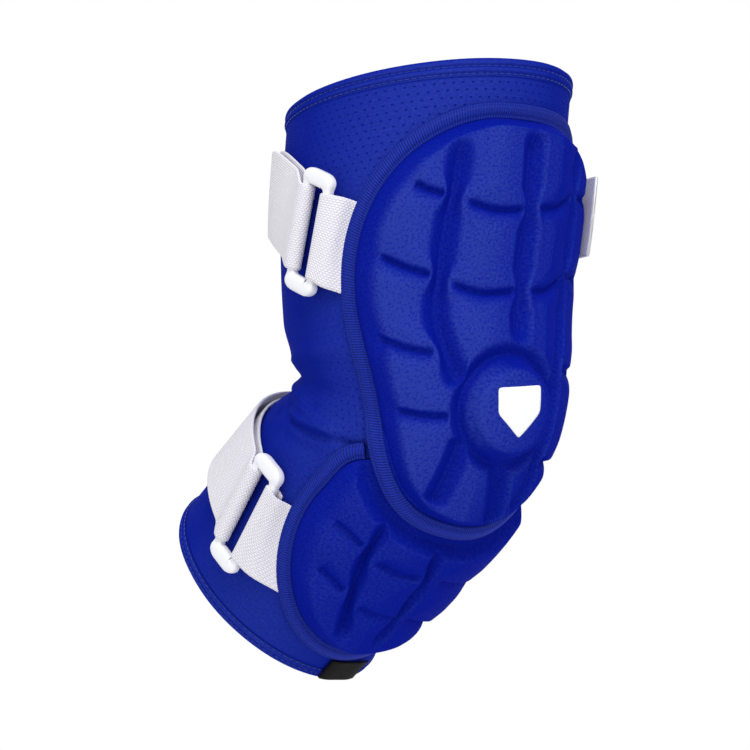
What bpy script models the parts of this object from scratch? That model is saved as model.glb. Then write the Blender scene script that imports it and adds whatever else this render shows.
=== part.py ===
"""A batter's elbow guard: a bent knitted sleeve with two moulded pads, two webbing straps and their rings.

Everything lies on one surface, the outside of the sleeve. A place on it is given by `s`, the
distance down the arm's centreline from the start of the bend (negative on the upper arm), and by
`turn`, the angle round the arm from the outside of the elbow towards the side with the rings.
`lift` is the height above the cloth. Metres, +Z up the upper arm, +X out of the elbow's point.
The origin is the middle of the elbow, where the two straight legs' centrelines cross.
"""

import math
from collections import namedtuple

import bmesh
import bpy
import numpy as np

# The sleeve's legs, measured down the centreline, and its bend
UPPER_LENGTH = 0.0953
LOWER_LENGTH = 0.0716
BEND_ANGLE = math.radians(57.4)
BEND_RADIUS = 0.0501
CROOK_RADIUS = 0.005  # how close the cloth comes to the bend's pivot line
CROOK_BLEND = 0.014  # length over which that rounding fades into each leg

# The sleeve's outer sections: depth is front to back, width is side to side
TOP_DEPTH = 0.1145
TOP_WIDTH = 0.1001
ARM_DEPTH = 0.1068
ARM_WIDTH = 0.1082
ELBOW_DEPTH = 0.0933
ELBOW_WIDTH = 0.0952
CUFF_DEPTH = 0.0921
CUFF_WIDTH = 0.0943
SLEEVE_WALL = 0.0016

# Hems
TOP_HEM_HEIGHT = 0.0072
CUFF_HEM_HEIGHT = 0.0050
HEM_PROUD = 0.0005
GAP = 0.0003  # room left between pieces that touch
SEAT = 0.0005  # the same for what lies on the cloth, whose flat facets need a little more

# Pads: widths are measured round an arm of the elbow's mean radius
UPPER_PAD_TOP = 0.0732  # height of its top edge above the start of the bend
UPPER_PAD_LENGTH = 0.1145
UPPER_PAD_AXIS = 0.0181  # the line of its widest reach, from the elbow's point to the ring side
UPPER_PAD_LEFT = 0.0436
UPPER_PAD_RIGHT = 0.0592
UPPER_PAD_THICKNESS = 0.0098
LOWER_PAD_TOP = 0.0330  # how far its top edge lies below the start of the bend
LOWER_PAD_LENGTH = 0.0712
LOWER_PAD_AXIS = 0.0123
LOWER_PAD_LEFT = 0.0465
LOWER_PAD_RIGHT = 0.0502
LOWER_PAD_THICKNESS = 0.0088
PAD_EDGE = 0.0018
SIDE_SLOPE = 0.0115
END_SLOPE = 0.0048
GROOVE_WIDTH = 0.0115
GROOVE_DEPTH = 0.0052
CROSS_GROOVE_WIDTH = 0.0042
CROSS_GROOVE_DEPTH = 0.0030
DISC_RADIUS = 0.0200
DISC_FACE_RADIUS = 0.0145
DISC_HEIGHT = 0.0135
DISC_MOAT_WIDTH = 0.0050
DISC_MOAT_DEPTH = 0.0048

# The knitted tape round each pad's edge
BINDING_WIDTH = 0.0054
BINDING_HEIGHT = 0.0021
UNDERLAP = 0.0040  # how far past the upper tape the lower pad stays thin

# Straps: webbing, its short tab and its one-slot ring
STRAP_WIDTH = 0.0318
STRAP_THICKNESS = 0.0013
RING_END_WIDTH = 0.0052
RING_END_THICKNESS = 0.0046
RING_BAR_DIAMETER = 0.0036
RING_PLAY = 0.0019  # room between the webbing's edge and the ring's end
RING_SLIT = 0.0050  # open slit left between the two pieces of webbing
RING_SQUARENESS = 9.0  # of its outline, 2 being an ellipse
RING_SLANT = 0.17  # how far its front bar sits above its other bar, for each length between them
UPPER_RING_PLACE = -0.0394  # s of the ring's middle
UPPER_RING_ROUND = 0.0785
UPPER_RING_TILT = 0.0103  # how far the ring's lower end sits behind its upper end
LOWER_RING_PLACE = 0.0821
LOWER_RING_ROUND = 0.0735
LOWER_RING_TILT = -0.0120
STRAP_RETURN = 0.1250  # length of the layer folded back over the strap
STRAP_STAND = 0.0012  # how far that layer stands off the strap near the ring
TAB_RETURN = 0.0015  # the tab's end, folded back under it
WRAP_PAST = 0.5  # angle past the top of a bar to which the webbing stays on it
TAB_END_ROOM = 0.0017  # room between a tab's end and its pad's tape
STRAP_END_ROOM = 0.0025  # the same at the lower strap's straight end
STRAP_END_STAND = 0.0018  # how far the upper strap's end stands above the upper pad
UPPER_TAB_SLANT = 0.55  # how far the tab drops for each length it runs towards its pad
LOWER_TAB_SLANT = -0.10

# The label sewn on below the lower pad
LABEL_WIDTH = 0.0206
LABEL_HEIGHT = 0.0098
LABEL_THICKNESS = 0.0007
LABEL_ROUND = -0.0005
LABEL_RISE = 0.0010  # its lower edge above the cuff's rim

# How finely the surfaces are cut
AROUND = 36
UPPER_PAD_CELLS = 25
LOWER_PAD_CELLS = 17
UPPER_BINDING_STEPS = 60
LOWER_BINDING_STEPS = 44
STRAP_STEPS = 25
RETURN_STEPS = 12
WRAP_STEPS = 6
STRAP_COLUMNS = 3
TAB_STEPS = 4
TAB_COLUMNS = 5
RING_STEPS = 28
RING_SIDES = 6

BEND_ARC = BEND_RADIUS * BEND_ANGLE
MEAN_RADIUS = (ELBOW_DEPTH + ELBOW_WIDTH) / 4
ELBOW_DROP = BEND_RADIUS * math.tan(BEND_ANGLE / 2)
TOP_RIM = -UPPER_LENGTH
CUFF_RIM = BEND_ARC + LOWER_LENGTH
RING_LIFT = RING_BAR_DIAMETER / 2 + STRAP_THICKNESS + 3 * GAP
RING_LENGTH = STRAP_WIDTH + 2 * RING_PLAY + 2 * RING_END_WIDTH
RING_WIDTH = 2 * RING_BAR_DIAMETER + 2 * (STRAP_THICKNESS + GAP) + RING_SLIT
BAR_APART = RING_WIDTH - RING_BAR_DIAMETER

Section = namedtuple("Section", "s depth width shift")
SECTIONS = (
    Section(TOP_RIM, TOP_DEPTH, TOP_WIDTH, 0.106 * TOP_DEPTH),
    Section(TOP_RIM / 2, ARM_DEPTH, ARM_WIDTH, 0.027 * ARM_DEPTH),
    Section(0.0, 1.032 * ELBOW_DEPTH, 1.076 * ELBOW_WIDTH, -0.040 * ELBOW_DEPTH),
    Section(BEND_ARC / 2, ELBOW_DEPTH, ELBOW_WIDTH, -0.028 * ELBOW_DEPTH),
    Section(BEND_ARC, 0.990 * ELBOW_DEPTH, 1.007 * ELBOW_WIDTH, -0.029 * ELBOW_DEPTH),
    Section(CUFF_RIM, CUFF_DEPTH, CUFF_WIDTH, -0.008 * CUFF_DEPTH),
)

# Soft folds that fan out of the crook: where along the bend (0 to 1), how far round (in turns of
# the half circle from the crook), their spread each way and their depth as a share of the wall
Fold = namedtuple("Fold", "bend_share crook_share along_spread round_spread depth")
FOLDS = (
    Fold(0.10, 0.42, 0.10, 0.20, 0.9),
    Fold(0.42, 0.36, 0.09, 0.17, -0.8),
    Fold(0.70, 0.40, 0.09, 0.19, 0.9),
    Fold(0.38, -0.38, 0.12, 0.20, 0.8),
)

# A pad's outline: the middle of its widest line as a share of its length, and how square each
# quarter is, 2 being an ellipse. Left is the side with the rings.
Pad = namedtuple("Pad", "top length axis left right middle squareness")
UPPER_PAD = Pad(
    -UPPER_PAD_TOP, UPPER_PAD_LENGTH, UPPER_PAD_AXIS, UPPER_PAD_LEFT, UPPER_PAD_RIGHT, 0.465,
    {"top_left": 2.1, "top_right": 3.6, "bottom_left": 2.5, "bottom_right": 2.9},
)
LOWER_PAD = Pad(
    LOWER_PAD_TOP, LOWER_PAD_LENGTH, LOWER_PAD_AXIS, LOWER_PAD_LEFT, LOWER_PAD_RIGHT, 0.267,
    {"top_left": 4.5, "top_right": 4.5, "bottom_left": 1.95, "bottom_right": 2.0},
)

# Grooves: points as (share of the pad's length from its top, share of its reach to that side)
UPPER_LONG_GROOVES = (
    ((0.076, 0.30), (0.216, 0.32), (0.345, 0.35), (0.494, 0.37), (0.613, 0.405), (0.668, 0.377),
     (0.722, 0.30), (0.752, 0.236)),
    ((0.052, -0.165), (0.28, -0.188), (0.54, -0.188), (0.672, -0.181)),
    ((0.055, -0.55), (0.35, -0.57), (0.60, -0.56), (0.76, -0.50), (0.88, -0.47), (0.95, -0.43)),
    ((0.842, 0.15), (0.966, 0.17)),
    ((0.872, -0.16), (0.971, -0.30)),
)
UPPER_CROSS_GROOVES = (
    ((0.270, 0.236), (0.295, 0.028), (0.290, -0.150)),
    ((0.524, 0.300), (0.554, 0.066), (0.543, -0.155)),
    ((0.205, 0.585), (0.228, 0.500), (0.245, 0.387)),
    ((0.419, 0.790), (0.462, 0.620), (0.494, 0.434)),
    ((0.663, 0.830), (0.688, 0.640), (0.698, 0.434)),
    ((0.817, 0.680), (0.815, 0.480), (0.807, 0.290)),
    ((0.280, -0.240), (0.262, -0.380), (0.216, -0.510)),
    ((0.539, -0.250), (0.520, -0.390), (0.469, -0.525)),
    ((0.205, -0.600), (0.200, -0.700), (0.190, -0.820)),
    ((0.456, -0.600), (0.452, -0.700), (0.440, -0.840)),
    ((0.700, -0.580), (0.705, -0.700), (0.700, -0.840)),
    ((0.855, -0.520), (0.865, -0.640), (0.860, -0.780)),
)
DISC_PLACE = (0.782, -0.139)
LOWER_LONG_GROOVES = (
    ((0.150, 0.470), (0.350, 0.434), (0.500, 0.363), (0.653, 0.283), (0.878, 0.142)),
    ((0.183, -0.010), (0.302, -0.075), (0.470, -0.125), (0.646, -0.139), (0.854, -0.148)),
)
LOWER_CROSS_GROOVES = (
    ((0.294, 0.761), (0.300, 0.630), (0.317, 0.504)),
    ((0.574, 0.637), (0.590, 0.510), (0.614, 0.380)),
    ((0.367, 0.345), (0.372, 0.150), (0.350, -0.041)),
    ((0.646, 0.212), (0.656, 0.040), (0.646, -0.110)),
    ((0.334, -0.180), (0.380, -0.480), (0.438, -0.779)),
    ((0.638, -0.189), (0.690, -0.450), (0.757, -0.713)),
)
LOWER_GROOVE_SHARE = 0.62  # the lower pad's long grooves beside the upper pad's

# Where each strap runs: how far its middle has moved down the arm from its ring, in strap widths,
# against the way round from the ring (0) to its sewn end on the far side of the pad (1)
Route = namedtuple("Route", "way shift")
UPPER_STRAP_ROUTE = (
    Route(0.0, 0.0), Route(0.14, -0.62), Route(0.36, -0.82), Route(0.65, -0.47), Route(1.0, -0.14),
)
LOWER_STRAP_ROUTE = (
    Route(0.0, 0.0), Route(0.14, -0.03), Route(0.36, -0.03), Route(0.65, -0.06), Route(1.0, -0.09),
)

# A buckle: its pad, its ring's place and tilt, the slant of its tab, and its strap's route
Buckle = namedtuple("Buckle", "pad place round_arm tilt tab_slant route over_pad")
UPPER_BUCKLE = Buckle(
    UPPER_PAD, UPPER_RING_PLACE, UPPER_RING_ROUND, UPPER_RING_TILT, UPPER_TAB_SLANT,
    UPPER_STRAP_ROUTE, True,
)
LOWER_BUCKLE = Buckle(
    LOWER_PAD, LOWER_RING_PLACE, LOWER_RING_ROUND, LOWER_RING_TILT, LOWER_TAB_SLANT,
    LOWER_STRAP_ROUTE, False,
)

COLOURS = {
    "knit": ((0.010, 0.028, 0.260, 1.0), 0.85),
    "pad_cloth": ((0.014, 0.036, 0.330, 1.0), 0.75),
    "tape": ((0.008, 0.024, 0.230, 1.0), 0.90),
    "webbing": ((0.800, 0.790, 0.820, 1.0), 0.80),
    "plastic": ((0.860, 0.860, 0.880, 1.0), 0.35),
    "label": ((0.012, 0.012, 0.014, 1.0), 0.70),
}


def smooth_step(x):
    """0 below 0, 1 above 1, and an even S between them."""
    x = np.clip(x, 0.0, 1.0)
    return x * x * (3.0 - 2.0 * x)


def through(x, xs, ys):
    """A smooth curve through the points (xs, ys), read at x: cubic pieces with centred slopes."""
    xs = np.asarray(xs, float)
    ys = np.asarray(ys, float)
    slopes = np.gradient(ys, xs)
    i = np.clip(np.searchsorted(xs, x) - 1, 0, len(xs) - 2)
    step = xs[i + 1] - xs[i]
    t = (np.asarray(x, float) - xs[i]) / step
    start = (1 + 2 * t) * (1 - t) ** 2 * ys[i] + t * (1 - t) ** 2 * step * slopes[i]
    end = t * t * (3 - 2 * t) * ys[i + 1] + t * t * (t - 1) * step * slopes[i + 1]
    return start + end


def unit(vectors):
    """The same directions with a length of one."""
    return vectors / np.linalg.norm(vectors, axis=-1, keepdims=True)


def on_sleeve(s, turn, lift=0.0):
    """Points at `lift` above the cloth. Each section is an ellipse square to the centreline, which
    is straight, then an arc about the pivot line, then straight again. In the crook the distance to
    the pivot line is rounded off, so that the cloth never reaches it, and the folds are added."""
    s, turn, lift = np.broadcast_arrays(np.asarray(s, float), turn, lift)
    stations = [row.s for row in SECTIONS]
    depth = through(s, stations, [row.depth / 2 for row in SECTIONS])
    width = through(s, stations, [row.width / 2 for row in SECTIONS])
    shift = through(s, stations, [row.shift for row in SECTIONS])
    lift = lift + fold_height(s, turn)
    out = np.cos(turn) / depth
    side = np.sin(turn) / width
    length = np.hypot(out, side)
    outward = shift + depth * np.cos(turn) + lift * out / length
    sideways = width * np.sin(turn) + lift * side / length
    past = np.maximum(np.maximum(-s, s - BEND_ARC), 0.0)
    reach = BEND_RADIUS + outward
    rounded = (reach + np.hypot(reach, 2 * CROOK_RADIUS)) / 2
    reach = reach + (rounded - reach) * (1 - smooth_step(past / CROOK_BLEND))
    angle = np.clip(s / BEND_RADIUS, 0.0, BEND_ANGLE)
    straight = np.minimum(s, 0.0) + np.maximum(s - BEND_ARC, 0.0)
    x = reach * np.cos(angle) - BEND_RADIUS - straight * np.sin(angle)
    z = ELBOW_DROP - reach * np.sin(angle) - straight * np.cos(angle)
    return np.stack([x, -sideways, z], axis=-1)


def fold_height(s, turn):
    """How far the crook's folds lift the cloth: a soft bump or dent for each row of FOLDS."""
    from_crook = (np.mod(turn, 2 * math.pi) - math.pi) / math.pi
    height = np.zeros(np.broadcast(s, turn).shape)
    for fold in FOLDS:
        along = (s / BEND_ARC - fold.bend_share) / fold.along_spread
        across = (-from_crook - fold.crook_share) / fold.round_spread
        height = height + fold.depth * SLEEVE_WALL * np.exp(-along ** 2 - across ** 2)
    return height


def pad_place(pad, along, across):
    """The s and turn of a point given as shares of the pad's length and of its reach to one side."""
    along = np.asarray(along, float)
    across = np.asarray(across, float)
    reach = np.where(across > 0, pad.left, pad.right)
    return pad.top + along * pad.length, (pad.axis + across * reach) / MEAN_RADIUS


def pad_spread(pad, angle, share):
    """Points at a share of the way from the pad's middle to its rim, whose four quarters are
    superellipses. Angle 0 points to the ring side and a quarter turn points down the arm."""
    left = np.cos(angle) > 0
    down = np.sin(angle) > 0
    kinds = pad.squareness
    power = np.where(
        down,
        np.where(left, kinds["bottom_left"], kinds["bottom_right"]),
        np.where(left, kinds["top_left"], kinds["top_right"]),
    )
    radius = (np.abs(np.cos(angle)) ** power + np.abs(np.sin(angle)) ** power) ** (-1 / power)
    along = np.sin(angle) * radius * share
    along = pad.middle + along * np.where(down, 1 - pad.middle, pad.middle)
    return pad_place(pad, along, np.cos(angle) * radius * share)


def is_inside(pad, s, turn):
    """True where a place on the sleeve lies within the pad's rim."""
    along = (s - pad.top) / pad.length - pad.middle
    along = along / np.where(along > 0, 1 - pad.middle, pad.middle)
    across = turn * MEAN_RADIUS - pad.axis
    across = across / np.where(across > 0, pad.left, pad.right)
    angle = np.arctan2(along, across)
    rim_s, rim_turn = pad_spread(pad, angle, 1.0)
    rim_along = (rim_s - pad.top) / pad.length - pad.middle
    rim_along = rim_along / np.where(rim_along > 0, 1 - pad.middle, pad.middle)
    rim_across = rim_turn * MEAN_RADIUS - pad.axis
    rim_across = rim_across / np.where(rim_across > 0, pad.left, pad.right)
    return np.hypot(along, across) < np.hypot(rim_along, rim_across)


def rim_angles(count, start=0.0, end=2 * math.pi, closed=True):
    """Evenly spread angles round a pad's rim."""
    return np.linspace(start, end, count, endpoint=not closed)


def beside(s, turn, distance, closed=True):
    """The line that runs this far to the outer side of a line on the sleeve, measured on the cloth."""
    small = 1e-5
    here = on_sleeve(s, turn)
    per_s = (on_sleeve(s + small, turn) - here) / small
    per_turn = (on_sleeve(s, turn + small) - here) / small
    if closed:
        run = np.roll(here, -1, axis=0) - np.roll(here, 1, axis=0)
    else:
        run = np.gradient(here, axis=0)
    side = unit(np.cross(run, np.cross(per_turn, per_s)))
    ss = (per_s * per_s).sum(-1)
    st = (per_s * per_turn).sum(-1)
    tt = (per_turn * per_turn).sum(-1)
    by_s = (side * per_s).sum(-1)
    by_turn = (side * per_turn).sum(-1)
    whole = ss * tt - st * st
    move_s = distance * (by_s * tt - by_turn * st) / whole
    move_turn = distance * (by_turn * ss - by_s * st) / whole
    return s + move_s, turn + move_turn


def near_line(points, line, closed=False):
    """Each point's distance to a line of points, and how far along the line it is, from 0 to 1."""
    ends = np.roll(line, -1, axis=0) if closed else line[1:]
    starts = line if closed else line[:-1]
    run = ends - starts
    apart = points[..., None, :] - starts
    share = np.clip((apart * run).sum(-1) / (run * run).sum(-1), 0.0, 1.0)
    distance = np.linalg.norm(apart - share[..., None] * run, axis=-1)
    nearest = distance.argmin(-1)
    share = np.take_along_axis(share, nearest[..., None], -1)[..., 0]
    nearest_distance = np.take_along_axis(distance, nearest[..., None], -1)[..., 0]
    return nearest_distance, (nearest + share) / len(starts)


def groove_line(pad, rows, height, count=14):
    """A groove's line in space: a smooth curve through its rows, at this height above the cloth."""
    rows = np.asarray(rows, float)
    ways = np.linspace(0.0, 1.0, len(rows))
    t = np.linspace(0.0, 1.0, count)
    s, turn = pad_place(pad, through(t, ways, rows[:, 0]), through(t, ways, rows[:, 1]))
    return on_sleeve(s, turn, height)


def rim_ramp(pad, points, level):
    """0 at the pad's rim, rising to 1 where its side slope, or its shorter end slope, is done."""
    angles = rim_angles(96)
    s, turn = pad_spread(pad, angles, 1.0)
    distance, way = near_line(points, on_sleeve(s, turn, level), closed=True)
    slope = END_SLOPE + (SIDE_SLOPE - END_SLOPE) * np.abs(np.cos(way * 2 * math.pi)) ** 1.5
    return smooth_step(distance / slope)


def cut_grooves(height, pad, points, long_grooves, cross_grooves, thickness, width):
    """The height with V-shaped grooves let into it: whichever is lower, the pad or a groove's wall.
    A long groove pinches to two thirds of its width where it starts and ends."""
    for rows in long_grooves:
        distance, way = near_line(points, groove_line(pad, rows, thickness / 2))
        half = width / 2 * (1 - 0.35 * np.abs(2 * way - 1) ** 3)
        wall = thickness - GROOVE_DEPTH * (1 - smooth_step(distance / half))
        height = np.minimum(height, wall)
    for rows in cross_grooves:
        distance, way = near_line(points, groove_line(pad, rows, thickness / 2))
        depth = CROSS_GROOVE_DEPTH * smooth_step(4 * np.minimum(way, 1 - way) + 0.3)
        wall = thickness - depth * (1 - smooth_step(2 * distance / CROSS_GROOVE_WIDTH))
        height = np.minimum(height, wall)
    return height


def upper_pad_height(s, turn):
    """The upper pad's face above the cloth: blocks parted by grooves, and the disc in its moat."""
    thickness = UPPER_PAD_THICKNESS
    points = on_sleeve(s, turn, thickness / 2)
    rise = rim_ramp(UPPER_PAD, points, thickness / 2)
    height = PAD_EDGE + (thickness - PAD_EDGE) * rise
    height = cut_grooves(
        height, UPPER_PAD, points, UPPER_LONG_GROOVES, UPPER_CROSS_GROOVES, thickness, GROOVE_WIDTH
    )
    disc_s, disc_turn = pad_place(UPPER_PAD, *DISC_PLACE)
    radius = np.linalg.norm(points - on_sleeve(disc_s, disc_turn, thickness / 2), axis=-1)
    floor = thickness - DISC_MOAT_DEPTH
    bank = floor + DISC_MOAT_DEPTH * smooth_step((radius - DISC_RADIUS) / DISC_MOAT_WIDTH)
    height = np.minimum(height, bank)
    fall = smooth_step((radius - DISC_FACE_RADIUS) / (DISC_RADIUS - DISC_FACE_RADIUS))
    disc = DISC_HEIGHT - (DISC_HEIGHT - floor) * fall
    height = np.where(radius < DISC_RADIUS, disc, height)
    return np.maximum(height, upper_pad_base(s, turn) + PAD_EDGE)


def upper_pad_base(s, turn):
    """The upper pad's underside: on the cloth, and lifted where it passes over the lower pad's edge."""
    points = on_sleeve(s, turn)
    rim_s, rim_turn = pad_spread(LOWER_PAD, rim_angles(96), 1.0)
    distance, _ = near_line(points, on_sleeve(rim_s, rim_turn), closed=True)
    distance = np.where(is_inside(LOWER_PAD, s, turn), 0.0, distance)
    clear = smooth_step((distance - BINDING_WIDTH - 3 * GAP) / SIDE_SLOPE)
    return SEAT + (BINDING_HEIGHT + GAP) * (1 - clear)


def lower_pad_height(s, turn):
    """The lower pad's face above the cloth: thin under the upper pad, then blocks and grooves."""
    thickness = LOWER_PAD_THICKNESS
    points = on_sleeve(s, turn, thickness / 2)
    rise = rim_ramp(LOWER_PAD, points, thickness / 2)
    rim_s, rim_turn = pad_spread(UPPER_PAD, rim_angles(96), 1.0)
    distance, _ = near_line(points, on_sleeve(rim_s, rim_turn, thickness / 2), closed=True)
    distance = np.where(is_inside(UPPER_PAD, s, turn), 0.0, distance)
    from_upper = smooth_step((distance - BINDING_WIDTH - UNDERLAP) / END_SLOPE)
    height = PAD_EDGE + (thickness - PAD_EDGE) * np.minimum(rise, from_upper)
    return np.maximum(cut_grooves(
        height, LOWER_PAD, points, LOWER_LONG_GROOVES, LOWER_CROSS_GROOVES, thickness,
        GROOVE_WIDTH * LOWER_GROOVE_SHARE,
    ), PAD_EDGE)


def material_of(name):
    """A Principled material with the named finish's colour and roughness."""
    if name in bpy.data.materials:
        return bpy.data.materials[name]
    colour, roughness = COLOURS[name]
    material = bpy.data.materials.new(name)
    material.use_nodes = True
    shader = material.node_tree.nodes["Principled BSDF"]
    shader.inputs["Base Color"].default_value = colour
    shader.inputs["Roughness"].default_value = roughness
    return material


def make_object(name, points, faces, finish, collection):
    """An object from points and faces, with all its faces turned outwards and shaded smooth."""
    mesh = bpy.data.meshes.new(name)
    mesh.from_pydata(points.tolist(), [], faces)
    shape = bmesh.new()
    shape.from_mesh(mesh)
    bmesh.ops.recalc_face_normals(shape, faces=shape.faces)
    if shape.calc_volume(signed=True) < 0:
        bmesh.ops.reverse_faces(shape, faces=shape.faces)
    shape.to_mesh(mesh)
    shape.free()
    mesh.shade_smooth()
    mesh.set_sharp_from_angle(angle=math.radians(50))
    mesh.materials.append(material_of(finish))
    piece = bpy.data.objects.new(name, mesh)
    collection.objects.link(piece)
    return piece


def layer_solid(name, outer, inner, finish, collection, ring_rows=False, ring_columns=False):
    """The closed solid between two grids of points of one size. A grid whose rows or columns run in
    a ring joins up with itself, and every free edge gets a wall."""
    rows, columns = outer.shape[:2]
    count = rows * columns
    index = np.arange(count).reshape(rows, columns)
    across = np.concatenate([index, index[:, :1]], axis=1) if ring_columns else index
    grid = np.concatenate([across, across[:1]], axis=0) if ring_rows else across
    quads = np.stack([grid[:-1, :-1], grid[:-1, 1:], grid[1:, 1:], grid[1:, :-1]], axis=-1)
    quads = quads.reshape(-1, 4)
    faces = quads.tolist()
    faces += (quads[:, ::-1] + count).tolist()
    edges = []
    if not ring_rows:
        edges.append(grid[0, ::-1])
        edges.append(grid[-1])
    if not ring_columns:
        edges.append(grid[:, 0])
        edges.append(grid[::-1, -1])
    for edge in edges:
        wall = np.stack([edge[:-1], edge[1:], edge[1:] + count, edge[:-1] + count], axis=-1)
        faces += wall.tolist()
    points = np.concatenate([outer.reshape(-1, 3), inner.reshape(-1, 3)])
    return make_object(name, points, faces, finish, collection)


def sleeve_stations():
    """Where the sleeve's rings lie: even steps on the legs and closer ones in the bend."""
    start = TOP_RIM + TOP_HEM_HEIGHT + GAP
    end = CUFF_RIM - CUFF_HEM_HEIGHT - GAP
    upper = start * (1 - np.array([0.0, 0.17, 0.34, 0.51, 0.66, 0.78, 0.89]))
    bend = np.linspace(0.0, BEND_ARC, 11)
    lower = np.linspace(BEND_ARC, end, 5)
    return np.concatenate([upper, bend, lower[1:]])


def around_the_arm():
    """Evenly spread turns for a ring of points round the arm."""
    return np.linspace(0.0, 2 * math.pi, AROUND, endpoint=False)


def build_sleeve(collection):
    """The knitted tube, from under one hem to under the other."""
    s, turn = np.meshgrid(sleeve_stations(), around_the_arm(), indexing="ij")
    outer = on_sleeve(s, turn)
    inner = on_sleeve(s, turn, -SLEEVE_WALL)
    return layer_solid("sleeve", outer, inner, "knit", collection, ring_columns=True)


def build_hem(name, start, end, collection):
    """A folded hem: a band a little thicker than the sleeve, thickest along its middle."""
    shares = np.array([0.0, 0.5, 1.0])
    proud = HEM_PROUD * np.array([0.4, 1.0, 0.4])
    s, turn = np.meshgrid(start + (end - start) * shares, around_the_arm(), indexing="ij")
    outer = on_sleeve(s, turn, proud[:, None])
    inner = on_sleeve(s, turn, -SLEEVE_WALL)
    return layer_solid(name, outer, inner, "knit", collection, ring_columns=True)


def pad_grid(pad, cells):
    """The s and turn of a grid that fills a pad: a square grid drawn out to a disc, then to its rim."""
    u, v = np.meshgrid(np.linspace(-1, 1, cells + 1), np.linspace(-1, 1, cells + 1), indexing="ij")
    along = u * np.sqrt(1 - v * v / 2)
    across = v * np.sqrt(1 - u * u / 2)
    angle = np.arctan2(along, across)
    share = np.minimum(np.hypot(along, across), 1.0)
    inset = 1 - 2 * GAP / pad.length
    return pad_spread(pad, angle, share * inset)


def soft_height(pad, cells, height_of):
    """A pad's height at the corners of its grid, each the mean of nine places round the corner, so
    that grooves narrower than a cell leave an even dent."""
    finer = height_of(*pad_grid(pad, 3 * cells))
    finer = np.pad(finer, 1, mode="edge")
    total = np.zeros((cells + 1, cells + 1))
    for row in range(3):
        for column in range(3):
            total += finer[row:row + 3 * cells + 1:3, column:column + 3 * cells + 1:3]
    return total / 9


def build_upper_pad(collection):
    """The large moulded pad over the upper arm and the elbow's point."""
    s, turn = pad_grid(UPPER_PAD, UPPER_PAD_CELLS)
    outer = on_sleeve(s, turn, soft_height(UPPER_PAD, UPPER_PAD_CELLS, upper_pad_height))
    inner = on_sleeve(s, turn, upper_pad_base(s, turn))
    return layer_solid("upper_pad", outer, inner, "pad_cloth", collection)


def build_lower_pad(collection):
    """The small moulded pad over the forearm, its top edge under the upper pad."""
    s, turn = pad_grid(LOWER_PAD, LOWER_PAD_CELLS)
    outer = on_sleeve(s, turn, soft_height(LOWER_PAD, LOWER_PAD_CELLS, lower_pad_height))
    inner = on_sleeve(s, turn, SEAT)
    return layer_solid("lower_pad", outer, inner, "pad_cloth", collection)


def build_binding(name, pad, base, angles, closed, collection):
    """The tape along a pad's rim: a low domed strip beside the pad, on the cloth."""
    rim_s, rim_turn = pad_spread(pad, angles, 1.0)
    outer_rows = []
    inner_rows = []
    for share, crown in ((0.0, 0.6), (0.45, 1.0), (1.0, 0.4)):
        s, turn = beside(rim_s, rim_turn, GAP + share * (BINDING_WIDTH - GAP), closed)
        level = base(s, turn)
        outer_rows.append(on_sleeve(s, turn, level + crown * BINDING_HEIGHT))
        inner_rows.append(on_sleeve(s, turn, level))
    outer = np.stack(outer_rows, axis=1)
    inner = np.stack(inner_rows, axis=1)
    return layer_solid(name, outer, inner, "tape", collection, ring_rows=closed)


def on_cloth(s, turn):
    """The height of a piece that lies straight on the sleeve."""
    return np.full(np.broadcast(s, turn).shape, SEAT)


def ring_frame(buckle):
    """A ring's middle and its axes: across towards the front of the arm, along it, and outwards."""
    turn = buckle.round_arm / MEAN_RADIUS
    small = 1e-4
    middle = on_sleeve(buckle.place, turn, RING_LIFT)
    across = unit(on_sleeve(buckle.place, turn + small, RING_LIFT) - middle)
    lower_end = on_sleeve(buckle.place + RING_LENGTH / 2, turn)
    down = unit(lower_end - on_sleeve(buckle.place - RING_LENGTH / 2, turn))
    down = unit(down * RING_LENGTH + across * buckle.tilt)
    out = unit(np.cross(across, down))
    if (out * (middle - on_sleeve(buckle.place, turn, 0.0))).sum() < 0:
        out = -out
    across = unit(np.cross(down, out)) * np.sign((np.cross(down, out) * across).sum())
    return middle, across, down, out


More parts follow.
